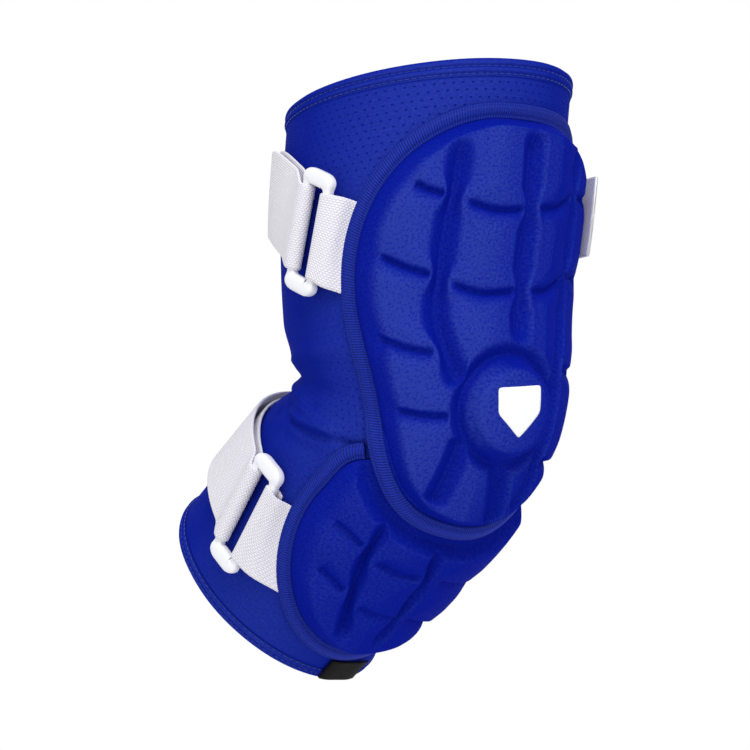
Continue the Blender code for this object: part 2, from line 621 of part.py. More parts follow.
def build_ring(name, buckle, collection):
    """A one-slot plastic ring: a rounded bar swept round a flat, slanted and rounded oblong, thick
    at its ends."""
    middle, across, down, out = ring_frame(buckle)
    path = np.linspace(0.0, 2 * math.pi, RING_STEPS, endpoint=False)
    around = np.linspace(0.0, 2 * math.pi, RING_SIDES, endpoint=False) + math.pi / RING_SIDES
    ends = smooth_step((np.abs(np.cos(path)) - 0.55) / 0.35)
    bar = RING_BAR_DIAMETER / 2
    half_wide = bar + (RING_END_WIDTH / 2 - bar) * ends
    half_thick = bar + (RING_END_THICKNESS / 2 - bar) * ends
    power = 2 / RING_SQUARENESS
    along = np.sign(np.cos(path)) * np.abs(np.cos(path)) ** power
    along = along * (RING_LENGTH - RING_END_WIDTH) / 2
    aside = np.sign(np.sin(path)) * np.abs(np.sin(path)) ** power
    aside = aside * BAR_APART / 2
    flat = np.stack([along - aside * RING_SLANT, aside], axis=-1)
    run = unit(np.roll(flat, -1, axis=0) - np.roll(flat, 1, axis=0))
    outward = np.stack([run[:, 1], -run[:, 0]], axis=-1)
    flat = flat[:, None, :] + outward[:, None, :] * (half_wide[:, None] * np.cos(around))[..., None]
    high = half_thick[:, None] * np.sin(around)
    points = middle + flat[..., :1] * down + flat[..., 1:] * across + high[..., None] * out
    rows, columns = RING_STEPS, RING_SIDES
    index = np.arange(rows * columns).reshape(rows, columns)
    next_row = np.roll(index, -1, axis=0)
    faces = np.stack(
        [index, np.roll(index, -1, axis=1), np.roll(next_row, -1, axis=1), next_row], axis=-1
    )
    return make_object(name, points.reshape(-1, 3), faces.reshape(-1, 4).tolist(), "plastic", collection)


def run_of(points):
    """The direction in which each row of points runs on, halfway between its two neighbours."""
    steps = unit(points[1:] - points[:-1])
    return unit(np.concatenate([steps[:1], steps[1:] + steps[:-1], steps[-1:]]))


def ribbon(name, centre, collection):
    """Webbing round a grid of centre points: its thickness lies square to its run."""
    across = np.gradient(centre, axis=1)
    normal = unit(np.cross(run_of(centre), across))
    outer = centre + normal * STRAP_THICKNESS / 2
    inner = centre - normal * STRAP_THICKNESS / 2
    return layer_solid(name, outer, inner, "webbing", collection)


def edge_turn(pad, s, far_side, room):
    """The turn of the outer edge of a pad's tape at each s, with some room added, on the ring side
    or the far side."""
    start = math.pi / 2 if far_side else -math.pi / 2
    angles = np.linspace(start, start + math.pi, 60)
    rim_s, rim_turn = pad_spread(pad, angles, 1.0)
    edge_s, turn = beside(rim_s, rim_turn, BINDING_WIDTH + room, closed=False)
    order = np.argsort(edge_s)
    return np.interp(s, edge_s[order], turn[order]) + (2 * math.pi if far_side else 0.0)


def wrap_points(buckle, side, start, end, shares):
    """Rows of points round one of a ring's long bars, in the ring's own axes: side is +1 for the
    bar towards the front of the arm, and the angle is 0 towards the slot and grows upwards."""
    middle, across, down, out = ring_frame(buckle)
    radius = RING_BAR_DIAMETER / 2 + GAP + STRAP_THICKNESS / 2
    angle = np.linspace(start, end, WRAP_STEPS)[:, None, None]
    bar = side * BAR_APART / 2
    aside = bar - side * radius * np.cos(angle)
    high = radius * np.sin(angle)
    along = (shares * STRAP_WIDTH)[None, :, None] - bar * RING_SLANT
    return middle + aside * across + along * down + high * out


def row_spread(buckle, shares):
    """How far down and how far round the arm each line along a strap lies from its middle line, so
    that its rows follow the bars."""
    lean = buckle.tilt / RING_LENGTH
    down = shares * STRAP_WIDTH / math.hypot(1.0, lean)
    return down, down * lean / MEAN_RADIUS


def strap_rows(buckle, s_middle, turn, lift, shares):
    """Rows of points across webbing that lies on the sleeve, its width along the ring's bars."""
    down, lean = row_spread(buckle, shares)
    return on_sleeve(np.asarray(s_middle) + down, turn + lean, lift)


def build_strap(name, buckle, collection):
    """The long strap: from its sewn end at the far side of the pad round the front of the arm, under
    the ring's bar, up through the slot and back over itself. Where it starts on top of the pad it
    runs down to the cloth in a straight line, as pulled webbing does."""
    shares = np.linspace(-0.5, 0.5, STRAP_COLUMNS)
    pad = buckle.pad
    place = buckle.place - RING_SLANT * BAR_APART / 2
    ring_turn = buckle.round_arm / MEAN_RADIUS
    ways = [row.way for row in buckle.route]
    shifts = [row.shift * STRAP_WIDTH for row in buckle.route]
    base = SEAT + STRAP_THICKNESS / 2
    touch = base
    span = 0.0
    radius = (ARM_DEPTH + ARM_WIDTH) / 4
    down, lean = row_spread(buckle, shares)
    end_s = place + shifts[-1] + down
    end_turn = edge_turn(pad, end_s, True, STRAP_END_ROOM)
    if buckle.over_pad:
        end_turn = 2 * math.pi + (pad.axis - pad.right + SIDE_SLOPE) / MEAN_RADIUS + 0 * shares
        touch = base + BINDING_HEIGHT / 2
        height = UPPER_PAD_THICKNESS + STRAP_END_STAND + base
        span = math.acos((radius + touch) / (radius + height))
    end_turn = end_turn - lean
    near = ring_turn + (RING_WIDTH / 2 + 3 * STRAP_THICKNESS) / MEAN_RADIUS
    turn = near + np.linspace(1.0, 0.0, STRAP_STEPS)[:, None] * (end_turn - near)
    away = end_turn - turn
    lift = (radius + touch) / np.cos(np.maximum(span - away, 0.0)) - radius
    lift = lift - (touch - base) * smooth_step(away - span)
    way = (turn - ring_turn) / (end_turn.mean() - ring_turn)
    under = strap_rows(buckle, place + through(way, ways, shifts), turn, lift, shares)
    wrap = wrap_points(buckle, 1.0, -math.pi / 2, math.pi / 2 + WRAP_PAST, shares)
    share = np.linspace(0.0, 1.0, RETURN_STEPS)[:, None]
    turn = near + share * STRAP_RETURN / MEAN_RADIUS
    way = (turn - ring_turn) / (end_turn.mean() - ring_turn)
    stand = STRAP_STAND * (1 - smooth_step(share * 1.6 - 0.35))
    lift = base + STRAP_THICKNESS + 2 * GAP + stand
    over = strap_rows(buckle, place + through(way, ways, shifts), turn, lift, shares)
    return ribbon(name, np.concatenate([under, wrap, over]), collection)


def build_tab(name, buckle, collection):
    """The short tab: from the pad's tape over the ring's near bar, down through the slot, and folded
    back a little way under itself."""
    shares = np.linspace(-0.5, 0.5, TAB_COLUMNS)
    slant = buckle.tab_slant
    place = buckle.place + RING_SLANT * BAR_APART / 2
    ring_turn = buckle.round_arm / MEAN_RADIUS
    near = ring_turn - (RING_WIDTH / 2 + STRAP_THICKNESS) / MEAN_RADIUS
    down, lean = row_spread(buckle, shares)
    start = np.full(len(shares), ring_turn)
    for _ in range(5):
        start_s = place + slant * (ring_turn - start) * MEAN_RADIUS + down
        start = edge_turn(buckle.pad, start_s, False, TAB_END_ROOM) - lean
    share = np.linspace(0.0, 1.0, TAB_STEPS)[:, None]
    turn = start + share * (near - start)
    base = SEAT + STRAP_THICKNESS / 2
    rise = RING_LIFT + RING_BAR_DIAMETER / 2 - base
    s_middle = place + slant * (ring_turn - turn) * MEAN_RADIUS
    over = strap_rows(buckle, s_middle, turn, base + rise * smooth_step(share), shares)
    wrap = wrap_points(buckle, -1.0, math.pi / 2 + WRAP_PAST, -math.pi / 2, shares)
    end = ring_turn - (RING_WIDTH / 2 + TAB_RETURN) / MEAN_RADIUS
    s_middle = place + slant * (ring_turn - end) * MEAN_RADIUS
    under = strap_rows(buckle, s_middle, np.array([[end]]), base, shares)
    return ribbon(name, np.concatenate([over, wrap, under]), collection)


def build_label(collection):
    """A small bare label that lies over the cuff's hem, below the lower pad."""
    lower = CUFF_RIM - LABEL_RISE
    s = np.linspace(lower - LABEL_HEIGHT, lower, 4)
    middle = LABEL_ROUND / MEAN_RADIUS
    half = LABEL_WIDTH / 2 / MEAN_RADIUS
    s, turn = np.meshgrid(s, np.linspace(middle - half, middle + half, 7), indexing="ij")
    level = HEM_PROUD + GAP
    outer = on_sleeve(s, turn, level + LABEL_THICKNESS)
    inner = on_sleeve(s, turn, level)
    return layer_solid("label", outer, inner, "label", collection)


def main():
    """Clears the scene and builds every piece of the guard."""
    for item in list(bpy.data.objects):
        bpy.data.objects.remove(item)
    collection = bpy.data.collections.new("elbow_guard")
    bpy.context.scene.collection.children.link(collection)
    build_sleeve(collection)
    build_hem("upper_hem", TOP_RIM, TOP_RIM + TOP_HEM_HEIGHT, collection)
    build_hem("lower_hem", CUFF_RIM - CUFF_HEM_HEIGHT, CUFF_RIM, collection)
    build_upper_pad(collection)
    build_lower_pad(collection)
    angles = rim_angles(UPPER_BINDING_STEPS)
    build_binding("upper_pad_binding", UPPER_PAD, upper_pad_base, angles, True, collection)
    angles = rim_angles(LOWER_BINDING_STEPS, math.radians(-40), math.radians(220), closed=False)
    build_binding("lower_pad_binding", LOWER_PAD, on_cloth, angles, False, collection)
    build_ring("upper_ring", UPPER_BUCKLE, collection)
    build_ring("lower_ring", LOWER_BUCKLE, collection)
    build_strap("upper_strap", UPPER_BUCKLE, collection)
    build_strap("lower_strap", LOWER_BUCKLE, collection)
    build_tab("upper_strap_tab", UPPER_BUCKLE, collection)
    build_tab("lower_strap_tab", LOWER_BUCKLE, collection)
    build_label(collection)


main()
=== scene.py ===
"""The finish of a batter's elbow guard: knitted sleeve, moulded pads, taped edges, webbing and rings.

Every piece lies on one surface, the outside of the sleeve. A place on it is given by `s`, the
distance down the arm's centreline from the start of the bend (negative on the upper arm), and by
`turn`, the angle round the arm from the outside of the elbow towards the side with the rings.
`lift` is the height above the cloth. Metres, +Z up the upper arm, +X out of the elbow's point.
"""

import math
from collections import namedtuple

import bpy
import numpy as np
from bpy.props import FloatProperty, FloatVectorProperty, PointerProperty
from bpy.types import Operator, Panel, PropertyGroup
from mathutils import Matrix, Vector


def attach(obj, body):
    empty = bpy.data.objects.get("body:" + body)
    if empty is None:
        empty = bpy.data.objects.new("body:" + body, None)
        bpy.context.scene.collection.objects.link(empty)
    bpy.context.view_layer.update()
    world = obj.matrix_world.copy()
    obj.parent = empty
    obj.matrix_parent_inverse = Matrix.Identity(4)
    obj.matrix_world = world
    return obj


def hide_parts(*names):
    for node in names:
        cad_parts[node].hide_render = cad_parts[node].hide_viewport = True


bl_info = {
    "name": "Elbow guard finish",
    "version": (1, 0, 0),
    "blender": (4, 5, 0),
    "location": "View3D > Sidebar > Elbow guard",
    "description": "Dresses the frame of a padded elbow guard in knit, moulded cloth, webbing and plastic",
    "category": "Object",
}

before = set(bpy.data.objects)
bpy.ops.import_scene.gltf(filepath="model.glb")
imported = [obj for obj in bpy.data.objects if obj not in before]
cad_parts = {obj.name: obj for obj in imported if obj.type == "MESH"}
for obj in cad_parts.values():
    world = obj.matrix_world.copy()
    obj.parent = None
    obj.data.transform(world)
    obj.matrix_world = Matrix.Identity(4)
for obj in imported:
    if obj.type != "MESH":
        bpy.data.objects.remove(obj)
BODY = "root"
MM = 0.001

# The sleeve's legs down the centreline, and its bend
UPPER_LENGTH = 95.3 * MM
LOWER_LENGTH = 71.6 * MM
BEND_ANGLE = math.radians(57.4)
BEND_RADIUS = 50.1 * MM
BEND_ARC = BEND_RADIUS * BEND_ANGLE
CROOK_RADIUS = 5.0 * MM
CROOK_BLEND = 14.0 * MM
ELBOW_DROP = BEND_RADIUS * math.tan(BEND_ANGLE / 2)
MEAN_RADIUS = 47.125 * MM
TOP_RIM = -UPPER_LENGTH
CUFF_RIM = BEND_ARC + LOWER_LENGTH
SLEEVE_WALL = 1.6 * MM
TOP_HEM_HEIGHT = 7.2 * MM
CUFF_HEM_HEIGHT = 5.0 * MM
HEM_PROUD = 0.9 * MM
HEM_LINES = (
    (TOP_RIM, TOP_RIM + TOP_HEM_HEIGHT, (0.42, 0.80)),
    (CUFF_RIM, CUFF_RIM - CUFF_HEM_HEIGHT, (0.40, 0.80)),
)
HEM_SLACK = 0.12 * MM
HEM_SEAM = 0.5 * MM
STITCH_LIFT = 0.12 * MM
SEAM_TUCK = 0.5 * MM  # how far each end of the sleeve runs into the hem sewn to it
GAP = 0.3 * MM
SEAT = 0.5 * MM

Section = namedtuple("Section", "s depth width shift")
SECTIONS = (
    Section(TOP_RIM, 114.5 * MM, 100.1 * MM, 12.14 * MM),
    Section(TOP_RIM / 2, 106.8 * MM, 108.2 * MM, 2.88 * MM),
    Section(0.0, 96.3 * MM, 102.4 * MM, -3.73 * MM),
    Section(BEND_ARC / 2, 93.3 * MM, 95.2 * MM, -2.61 * MM),
    Section(BEND_ARC, 92.4 * MM, 95.9 * MM, -2.71 * MM),
    Section(CUFF_RIM, 92.1 * MM, 94.3 * MM, -0.74 * MM),
)

# The crook's soft folds: where along the bend, how far round from the crook, spreads and height
Fold = namedtuple("Fold", "bend_share crook_share along_spread round_spread depth")
FOLDS = (
    Fold(0.10, 0.42, 0.10, 0.20, 0.9),
    Fold(0.42, 0.36, 0.09, 0.17, -0.8),
    Fold(0.70, 0.40, 0.09, 0.19, 0.9),
    Fold(0.38, -0.38, 0.12, 0.20, 0.8),
)

# Pulled creases by the crook: both ends as s and turn, half width, and depth (a ridge if negative)
Crease = namedtuple("Crease", "s_start turn_start s_end turn_end half depth")
CROOK_CREASES = (
    Crease(50.0 * MM, 2.05, 36.8 * MM, 1.42, 1.6 * MM, 1.5 * MM),
    Crease(36.8 * MM, 1.42, 33.5 * MM, 1.12, 1.5 * MM, 1.4 * MM),
    Crease(46.0 * MM, 2.05, 33.5 * MM, 1.44, 2.4 * MM, -1.2 * MM),
    Crease(41.0 * MM, 2.30, 30.0 * MM, 1.70, 1.8 * MM, 0.7 * MM),
    Crease(27.0 * MM, 2.05, 22.0 * MM, 1.60, 3.0 * MM, 0.5 * MM),
    Crease(56.0 * MM, 1.95, 44.0 * MM, 1.45, 2.6 * MM, 0.5 * MM),
)

# Loose ripples round the crook, and one crumpled dimple in it
RIPPLE_HEIGHT = 0.55 * MM
RIPPLE_SPREAD = 26.0 * MM
DIMPLE_PLACE = 51.0 * MM
DIMPLE_TURN = 2.20
DIMPLE_LONG = 8.0 * MM
DIMPLE_ROUND = 0.15
DIMPLE_DEPTH = 1.0 * MM
CRUMPLE_HEIGHT = 0.5 * MM

# Where the knit has eyelets: down to here from the top, and faintly in the crook
MESH_END = -50.0 * MM
MESH_FADE = 14.0 * MM
CROOK_MESH = 0.55
CROOK_MESH_SPREAD = 30.0 * MM

# A pad's outline: lengths round an arm of the mean radius, and how square each quarter is
Pad = namedtuple("Pad", "top length axis left right middle squareness thickness")
UPPER_PAD = Pad(
    -73.2 * MM, 114.5 * MM, 18.1 * MM, 43.6 * MM, 59.2 * MM, 0.465,
    {"top_left": 2.1, "top_right": 3.6, "bottom_left": 2.5, "bottom_right": 2.9}, 9.8 * MM,
)
LOWER_PAD = Pad(
    33.0 * MM, 71.2 * MM, 12.3 * MM, 46.5 * MM, 50.2 * MM, 0.267,
    {"top_left": 4.5, "top_right": 4.5, "bottom_left": 1.95, "bottom_right": 2.0}, 8.8 * MM,
)
PAD_EDGE = 1.8 * MM
SIDE_SLOPE = 11.5 * MM
END_SLOPE = 4.8 * MM
LIP_SHARE = 0.22  # of the pad's rise, in the rolled lip at its tape
LIP_ROUND = 0.9 * MM
LIP_WIDTH = 0.8 * MM
PINCH_START = 0.8 * MM  # a groove is pinched this near a crease
PINCH_REACH = 8.5 * MM  # and is wide again this much further on
SHOULDER_ROUND = 0.45 * MM
CREASE_STEEP = 0.8 * MM
CREASE_SLOW = 2.6 * MM
CROWN_REACH = 9.0 * MM
TAPE_WIDTH = 5.4 * MM
TAPE_OVER = 0.6 * MM
TAPE_HEIGHT = 2.1 * MM
TAPE_LAP = 0.5 * MM
TAPE_SINK = 0.15 * MM  # room left above its dome for the ribs
TAPE_FACE = 15  # points over the tape's face; four more lie under it
TAPE_SEAMS = ((0.24, 0.30), (0.80, 0.26))  # place and depth of its two sewn lines
LOWER_TAPE_ENDS = (math.radians(-44.5), math.radians(224.5))
UNDERLAP = 4.0 * MM
UPPER_CELLS = 300
LOWER_CELLS = 220
# How much painted sheen the block tops of each pad get: the lower pad, which faces down under the upper pad,
# gets less, as painted shade.
UPPER_PALENESS = 1.0
LOWER_PALENESS = 0.3

# Grooves: points as (share of the pad's length from its top, share of its reach to that side)
UPPER_LONG_GROOVES = (
    ((0.076, 0.30), (0.216, 0.32), (0.345, 0.35), (0.494, 0.37), (0.613, 0.405), (0.668, 0.377),
     (0.722, 0.30), (0.752, 0.236)),
    ((0.052, -0.165), (0.28, -0.188), (0.54, -0.188), (0.672, -0.181)),
    ((0.055, -0.55), (0.35, -0.57), (0.60, -0.56), (0.76, -0.50), (0.88, -0.47), (0.95, -0.43)),
    ((0.842, 0.15), (0.966, 0.17)),
    ((0.872, -0.16), (0.971, -0.30)),
)
UPPER_CREASES = (
    ((0.270, 0.236), (0.295, 0.028), (0.290, -0.150)),
    ((0.524, 0.300), (0.554, 0.066), (0.543, -0.155)),
    ((0.205, 0.585), (0.228, 0.500), (0.245, 0.387)),
    ((0.419, 0.790), (0.462, 0.620), (0.494, 0.434)),
    ((0.663, 0.830), (0.688, 0.640), (0.698, 0.434)),
    ((0.817, 0.680), (0.815, 0.480), (0.807, 0.290)),
    ((0.280, -0.240), (0.262, -0.380), (0.216, -0.510)),
    ((0.539, -0.250), (0.520, -0.390), (0.469, -0.525)),
    ((0.205, -0.600), (0.200, -0.700), (0.190, -0.820)),
    ((0.456, -0.600), (0.452, -0.700), (0.440, -0.840)),
    ((0.700, -0.580), (0.705, -0.700), (0.700, -0.840)),
    ((0.855, -0.520), (0.865, -0.640), (0.860, -0.780)),
)
LOWER_LONG_GROOVES = (
    ((0.150, 0.470), (0.350, 0.434), (0.500, 0.363), (0.653, 0.283), (0.878, 0.142)),
    ((0.183, -0.010), (0.302, -0.075), (0.470, -0.125), (0.646, -0.139), (0.854, -0.148)),
)
LOWER_CREASES = (
    ((0.294, 0.761), (0.300, 0.630), (0.317, 0.504)),
    ((0.574, 0.637), (0.590, 0.510), (0.614, 0.380)),
    ((0.367, 0.345), (0.372, 0.150), (0.350, -0.041)),
    ((0.646, 0.212), (0.656, 0.040), (0.646, -0.110)),
    ((0.334, -0.180), (0.380, -0.480), (0.438, -0.779)),
    ((0.638, -0.189), (0.690, -0.450), (0.757, -0.713)),
)
DISC_PLACE = (0.782, -0.139)
DISC_RADIUS = 20.0 * MM
DISC_FACE_RADIUS = 14.5 * MM
MOAT_WIDTH = 5.0 * MM

# Webbing and rings
STRAP_WIDTH = 31.8 * MM
RING_END_WIDTH = 5.2 * MM
RING_END_THICKNESS = 4.8 * MM
RING_END_ROUND = 1.0 * MM
RING_BAR = 3.6 * MM
RING_PLAY = 1.9 * MM
RING_SLIT = 5.0 * MM
RING_SLANT = 0.17
RING_SQUARENESS = 7.0
RING_STEPS = 240
RING_SIDES = 28
WEBBING = 1.3 * MM
RING_LIFT = RING_BAR / 2 + WEBBING + 3 * GAP
RING_LENGTH = STRAP_WIDTH + 2 * RING_PLAY + 2 * RING_END_WIDTH
RING_WIDTH = 2 * RING_BAR + 2 * (WEBBING + GAP) + RING_SLIT
BAR_APART = RING_WIDTH - RING_BAR
WEBBING_ROLL = 0.8 * MM  # how far in from its edges the webbing is rounded off
WEBBING_EDGE = 0.12 * MM
WEBBING_STEP = 0.6 * MM
STRAP_RETURN = 125.0 * MM
STRAP_STAND = 1.2 * MM
STRAP_END_ROOM = 2.5 * MM
STRAP_END_STAND = 1.8 * MM
TAB_RETURN = 1.5 * MM
WRAP_PAST = 0.5
TAB_TUCK = 0.4 * MM

# The bare label on the cuff and the print on the disc
LABEL_WIDTH = 20.6 * MM
LABEL_HEIGHT = 9.8 * MM
LABEL_THICKNESS = 0.7 * MM
LABEL_ROUND = -0.5 * MM
LABEL_RISE = 1.0 * MM
LABEL_LIFT = 0.75 * MM + GAP
PRINT_SHARE = 0.95  # its height for each width
PRINT_LEAN = math.radians(8.0)
PRINT_LIFT = 0.12 * MM
PRINT_THICKNESS = 0.10 * MM
PRINT_LEVEL = 13.0 * MM
PRINT_RINGS = 12
LABEL_WAVE = 0.15 * MM
LABEL_ROLL = 0.5 * MM

# The camera's place beside the elbow, the key light against the camera, and the floor
CAMERA_ASIDE = -19.19 * MM
CAMERA_UP = -10.01 * MM
KEY_ASIDE = math.radians(12)
KEY_RISE = math.radians(42)
KEY_DISTANCE = 1.3
KEY_SIZE = 0.7
FLOOR_HALF = 4.0

# A buckle: its ring's place on the sleeve and how far its lower end sits behind its upper end, the
# slant of its tab, and the strap's route as shifts in strap widths against the way round from the
# ring (0) to the sewn end (1)
Buckle = namedtuple("Buckle", "pad place round_arm tilt tab_slant over_pad ways shifts")
UPPER_BUCKLE = Buckle(
    UPPER_PAD, -39.4 * MM, 78.5 * MM, 10.3 * MM, 0.55, True,
    (0.0, 0.14, 0.36, 0.65, 1.0), (0.0, -0.62, -0.82, -0.47, -0.14),
)
LOWER_BUCKLE = Buckle(
    LOWER_PAD, 82.1 * MM, 73.5 * MM, -12.0 * MM, -0.10, False,
    (0.0, 0.14, 0.36, 0.65, 1.0), (0.0, -0.03, -0.03, -0.06, -0.09),
)


def linear(hex_colour):
    """An sRGB hex colour as linear red, green and blue."""
    parts = np.array([int(hex_colour[i:i + 2], 16) for i in (1, 3, 5)]) / 255
    return tuple(np.where(parts <= 0.04045, parts / 12.92, ((parts + 0.055) / 1.055) ** 2.4))


def colour(label, hex_colour, note):
    """A colour setting whose default is an sRGB hex value."""
    return FloatVectorProperty(
        name=label, description=note, subtype="COLOR", size=3, min=0.0, max=1.0,
        default=linear(hex_colour),
    )


def length(label, millimetres, note):
    """A length setting in metres, given here in millimetres."""
    return FloatProperty(
        name=label, description=note, unit="LENGTH", default=millimetres * MM, min=0.0, precision=5
    )


class GuardSizes(PropertyGroup):
    """Sizes of the finish that a user would change."""

    groove_depth: length("Groove depth", 6.0, "How deep the long grooves between the pad's blocks are")
    groove_wide: length("Groove, wide", 6.2, "Half width of a long groove beside the middle of a block")
    groove_pinch: length("Groove, pinched", 3.4, "Half width of a long groove where a crease meets it")
    spine: length("Spine height", 1.3, "Height of the thin ridge along the bottom of a long groove")
    spine_width: length("Spine width", 0.6, "Half width of that ridge")
    crease_depth: length("Crease depth", 2.7, "Depth of the short creases across the blocks")
    crown: length("Block crown", 0.7, "How much a block rises towards its middle")
    disc_height: length("Disc height", 13.5, "Height of the elbow disc above the cloth")
    moat_depth: length("Moat depth", 4.8, "Depth of the hollow round the disc below the blocks")
    rib_pitch: length("Tape rib pitch", 0.95, "Spacing of the overlocking threads across the tape")
    rib_height: length("Tape rib height", 0.26, "Height of those threads")
    stitch_length: length("Stitch length", 2.2, "Length of one lockstitch in the hems")
    thread: length("Thread", 0.42, "Thickness of the sewing thread")
    print_width: length("Print width", 20.0, "Width of the plain plate-shaped print on the disc")


class GuardColours(PropertyGroup):
    """Colours of the finish."""

    knit: colour("Sleeve knit", "#0b1f92", "Royal blue stretch knit of the sleeve")
    # The pad cloth's colour runs from sunk, painted shade in the grooves and on the slopes, to raised, a
    # painted sheen on the block tops where they face the eye; the sleeve's painted sheen uses raised too.
    raised: colour("Pad cloth, raised", "#28399d", "Pad cloth where it is stretched over a block")
    sunk: colour("Pad cloth, sunk", "#051791", "Pad cloth down in the grooves and on the slopes")
    tape: colour("Binding tape", "#142893", "Blue tape round the pads")
    thread: colour("Blue thread", "#20389e", "Sewing thread in the hems and the tape")
    webbing: colour("Webbing", "#f8f5fc", "White webbing")
    plastic: colour("Ring plastic", "#f6f6fa", "White moulded plastic of the rings")
    label: colour("Label", "#0b0b0d", "Black woven label")
    ink: colour("Print", "#fbfbfd", "White transfer print on the disc")
    floor: colour("Floor", "#f4f4f4", "Pale studio floor")


class GuardStage(PropertyGroup):
    """Camera and light."""

    azimuth: FloatProperty(
        name="Camera azimuth", description="Angle of the view round the guard, from the -Y side",
        subtype="ANGLE", default=math.radians(38.65),
    )
    elevation: FloatProperty(
        name="Camera elevation", description="Angle of the camera above the guard",
        subtype="ANGLE", default=math.radians(-9.89),
    )
    roll: FloatProperty(
        name="Camera roll", description="Lean of the view", subtype="ANGLE",
        default=math.radians(-4.88),
    )
    distance: FloatProperty(
        name="Camera distance", description="Distance from the camera to the guard",
        unit="LENGTH", default=1.1,
    )
    lens: FloatProperty(
        name="Lens", description="Focal length in millimetres", default=138.9, min=20.0
    )
    key_power: FloatProperty(
        name="Key light", description="Power of the large soft light, in watts", default=8.0, min=0.0
    )
    ambient: FloatProperty(
        name="Ambient", description="Strength of the light from all round", default=0.80, min=0.0
    )
    floor_drop: FloatProperty(
        name="Floor", description="How far the floor lies below the elbow", unit="LENGTH", default=0.32
    )


def smooth_step(x):
    """0 below 0, 1 above 1, and an even S between them."""
    x = np.clip(x, 0.0, 1.0)
    return x * x * (3.0 - 2.0 * x)


def soft_ramp(x, rounding):
    """0 well below 0, 1 well above 1 and a straight slope between, its two corners rounded."""
    return (1 + np.hypot(x, rounding) - np.hypot(x - 1, rounding)) / 2


def soft_min(a, b, rounding):
    """The lower of two heights, with the corner where they cross rounded off."""
    return (a + b - np.hypot(a - b, rounding)) / 2


def through(x, xs, ys):
    """A smooth curve through the points (xs, ys), read at x: cubic pieces with centred slopes."""
    xs = np.asarray(xs, float)
    ys = np.asarray(ys, float)
    slopes = np.gradient(ys, xs)
    i = np.clip(np.searchsorted(xs, x) - 1, 0, len(xs) - 2)
    step = xs[i + 1] - xs[i]
    t = (np.asarray(x, float) - xs[i]) / step
    start = (1 + 2 * t) * (1 - t) ** 2 * ys[i] + t * (1 - t) ** 2 * step * slopes[i]
    end = t * t * (3 - 2 * t) * ys[i + 1] + t * t * (t - 1) * step * slopes[i + 1]
    return start + end


def unit(vectors):
    """The same directions with a length of one."""
    return vectors / np.linalg.norm(vectors, axis=-1, keepdims=True)


def fold_height(s, turn):
    """How far the crook's folds lift the cloth: a soft bump or dent for each row of FOLDS."""
    from_crook = (np.mod(turn, 2 * math.pi) - math.pi) / math.pi
    height = np.zeros(np.broadcast(s, turn).shape)
    for fold in FOLDS:
        along = (s / BEND_ARC - fold.bend_share) / fold.along_spread
        across = (-from_crook - fold.crook_share) / fold.round_spread
        height = height + fold.depth * SLEEVE_WALL * np.exp(-along ** 2 - across ** 2)
    return height


def on_sleeve(s, turn, lift=0.0):
    """Points at `lift` above the cloth. Each section is an ellipse square to the centreline, which
    is straight, then an arc about the pivot line, then straight again. In the crook the distance to
    the pivot line is rounded off, so that the cloth never reaches it."""
    s, turn, lift = np.broadcast_arrays(np.asarray(s, float), turn, lift)
    stations = [row.s for row in SECTIONS]
    depth = through(s, stations, [row.depth / 2 for row in SECTIONS])
    width = through(s, stations, [row.width / 2 for row in SECTIONS])
    shift = through(s, stations, [row.shift for row in SECTIONS])
    lift = lift + fold_height(s, turn)
    out = np.cos(turn) / depth
    side = np.sin(turn) / width
    scale = np.hypot(out, side)
    outward = shift + depth * np.cos(turn) + lift * out / scale
    sideways = width * np.sin(turn) + lift * side / scale
    past = np.maximum(np.maximum(-s, s - BEND_ARC), 0.0)
    reach = BEND_RADIUS + outward
    rounded = (reach + np.hypot(reach, 2 * CROOK_RADIUS)) / 2
    reach = reach + (rounded - reach) * (1 - smooth_step(past / CROOK_BLEND))
    angle = np.clip(s / BEND_RADIUS, 0.0, BEND_ANGLE)
    straight = np.minimum(s, 0.0) + np.maximum(s - BEND_ARC, 0.0)
    x = reach * np.cos(angle) - BEND_RADIUS - straight * np.sin(angle)
    z = ELBOW_DROP - reach * np.sin(angle) - straight * np.cos(angle)
    return np.stack([x, -sideways, z], axis=-1)


def pad_place(pad, along, across):
    """The s and turn of a point given as shares of the pad's length and of its reach to one side."""
    along = np.asarray(along, float)
    across = np.asarray(across, float)
    reach = np.where(across > 0, pad.left, pad.right)
    return pad.top + along * pad.length, (pad.axis + across * reach) / MEAN_RADIUS


def pad_spread(pad, angle, share):
    """Points at a share of the way from the pad's middle to its rim, whose four quarters are
    superellipses. Angle 0 points to the ring side and a quarter turn points down the arm."""
    left = np.cos(angle) > 0
    down = np.sin(angle) > 0
    kinds = pad.squareness
    power = np.where(
        down,
        np.where(left, kinds["bottom_left"], kinds["bottom_right"]),
        np.where(left, kinds["top_left"], kinds["top_right"]),
    )
    radius = (np.abs(np.cos(angle)) ** power + np.abs(np.sin(angle)) ** power) ** (-1 / power)
    along = np.sin(angle) * radius * share
    along = pad.middle + along * np.where(down, 1 - pad.middle, pad.middle)
    return pad_place(pad, along, np.cos(angle) * radius * share)


def is_inside(pad, s, turn):
    """True where a place on the sleeve lies within the pad's rim."""
    along, across = pad_shares(pad, s, turn)
    angle = np.arctan2(along, across)
    rim_along, rim_across = pad_shares(pad, *pad_spread(pad, angle, 1.0))
    return np.hypot(along, across) < np.hypot(rim_along, rim_across)


def pad_shares(pad, s, turn):
    """A place as shares of the pad's reach down and to the ring side, from the pad's middle."""
    along = (s - pad.top) / pad.length - pad.middle
    along = along / np.where(along > 0, 1 - pad.middle, pad.middle)
    across = turn * MEAN_RADIUS - pad.axis
    return along, across / np.where(across > 0, pad.left, pad.right)


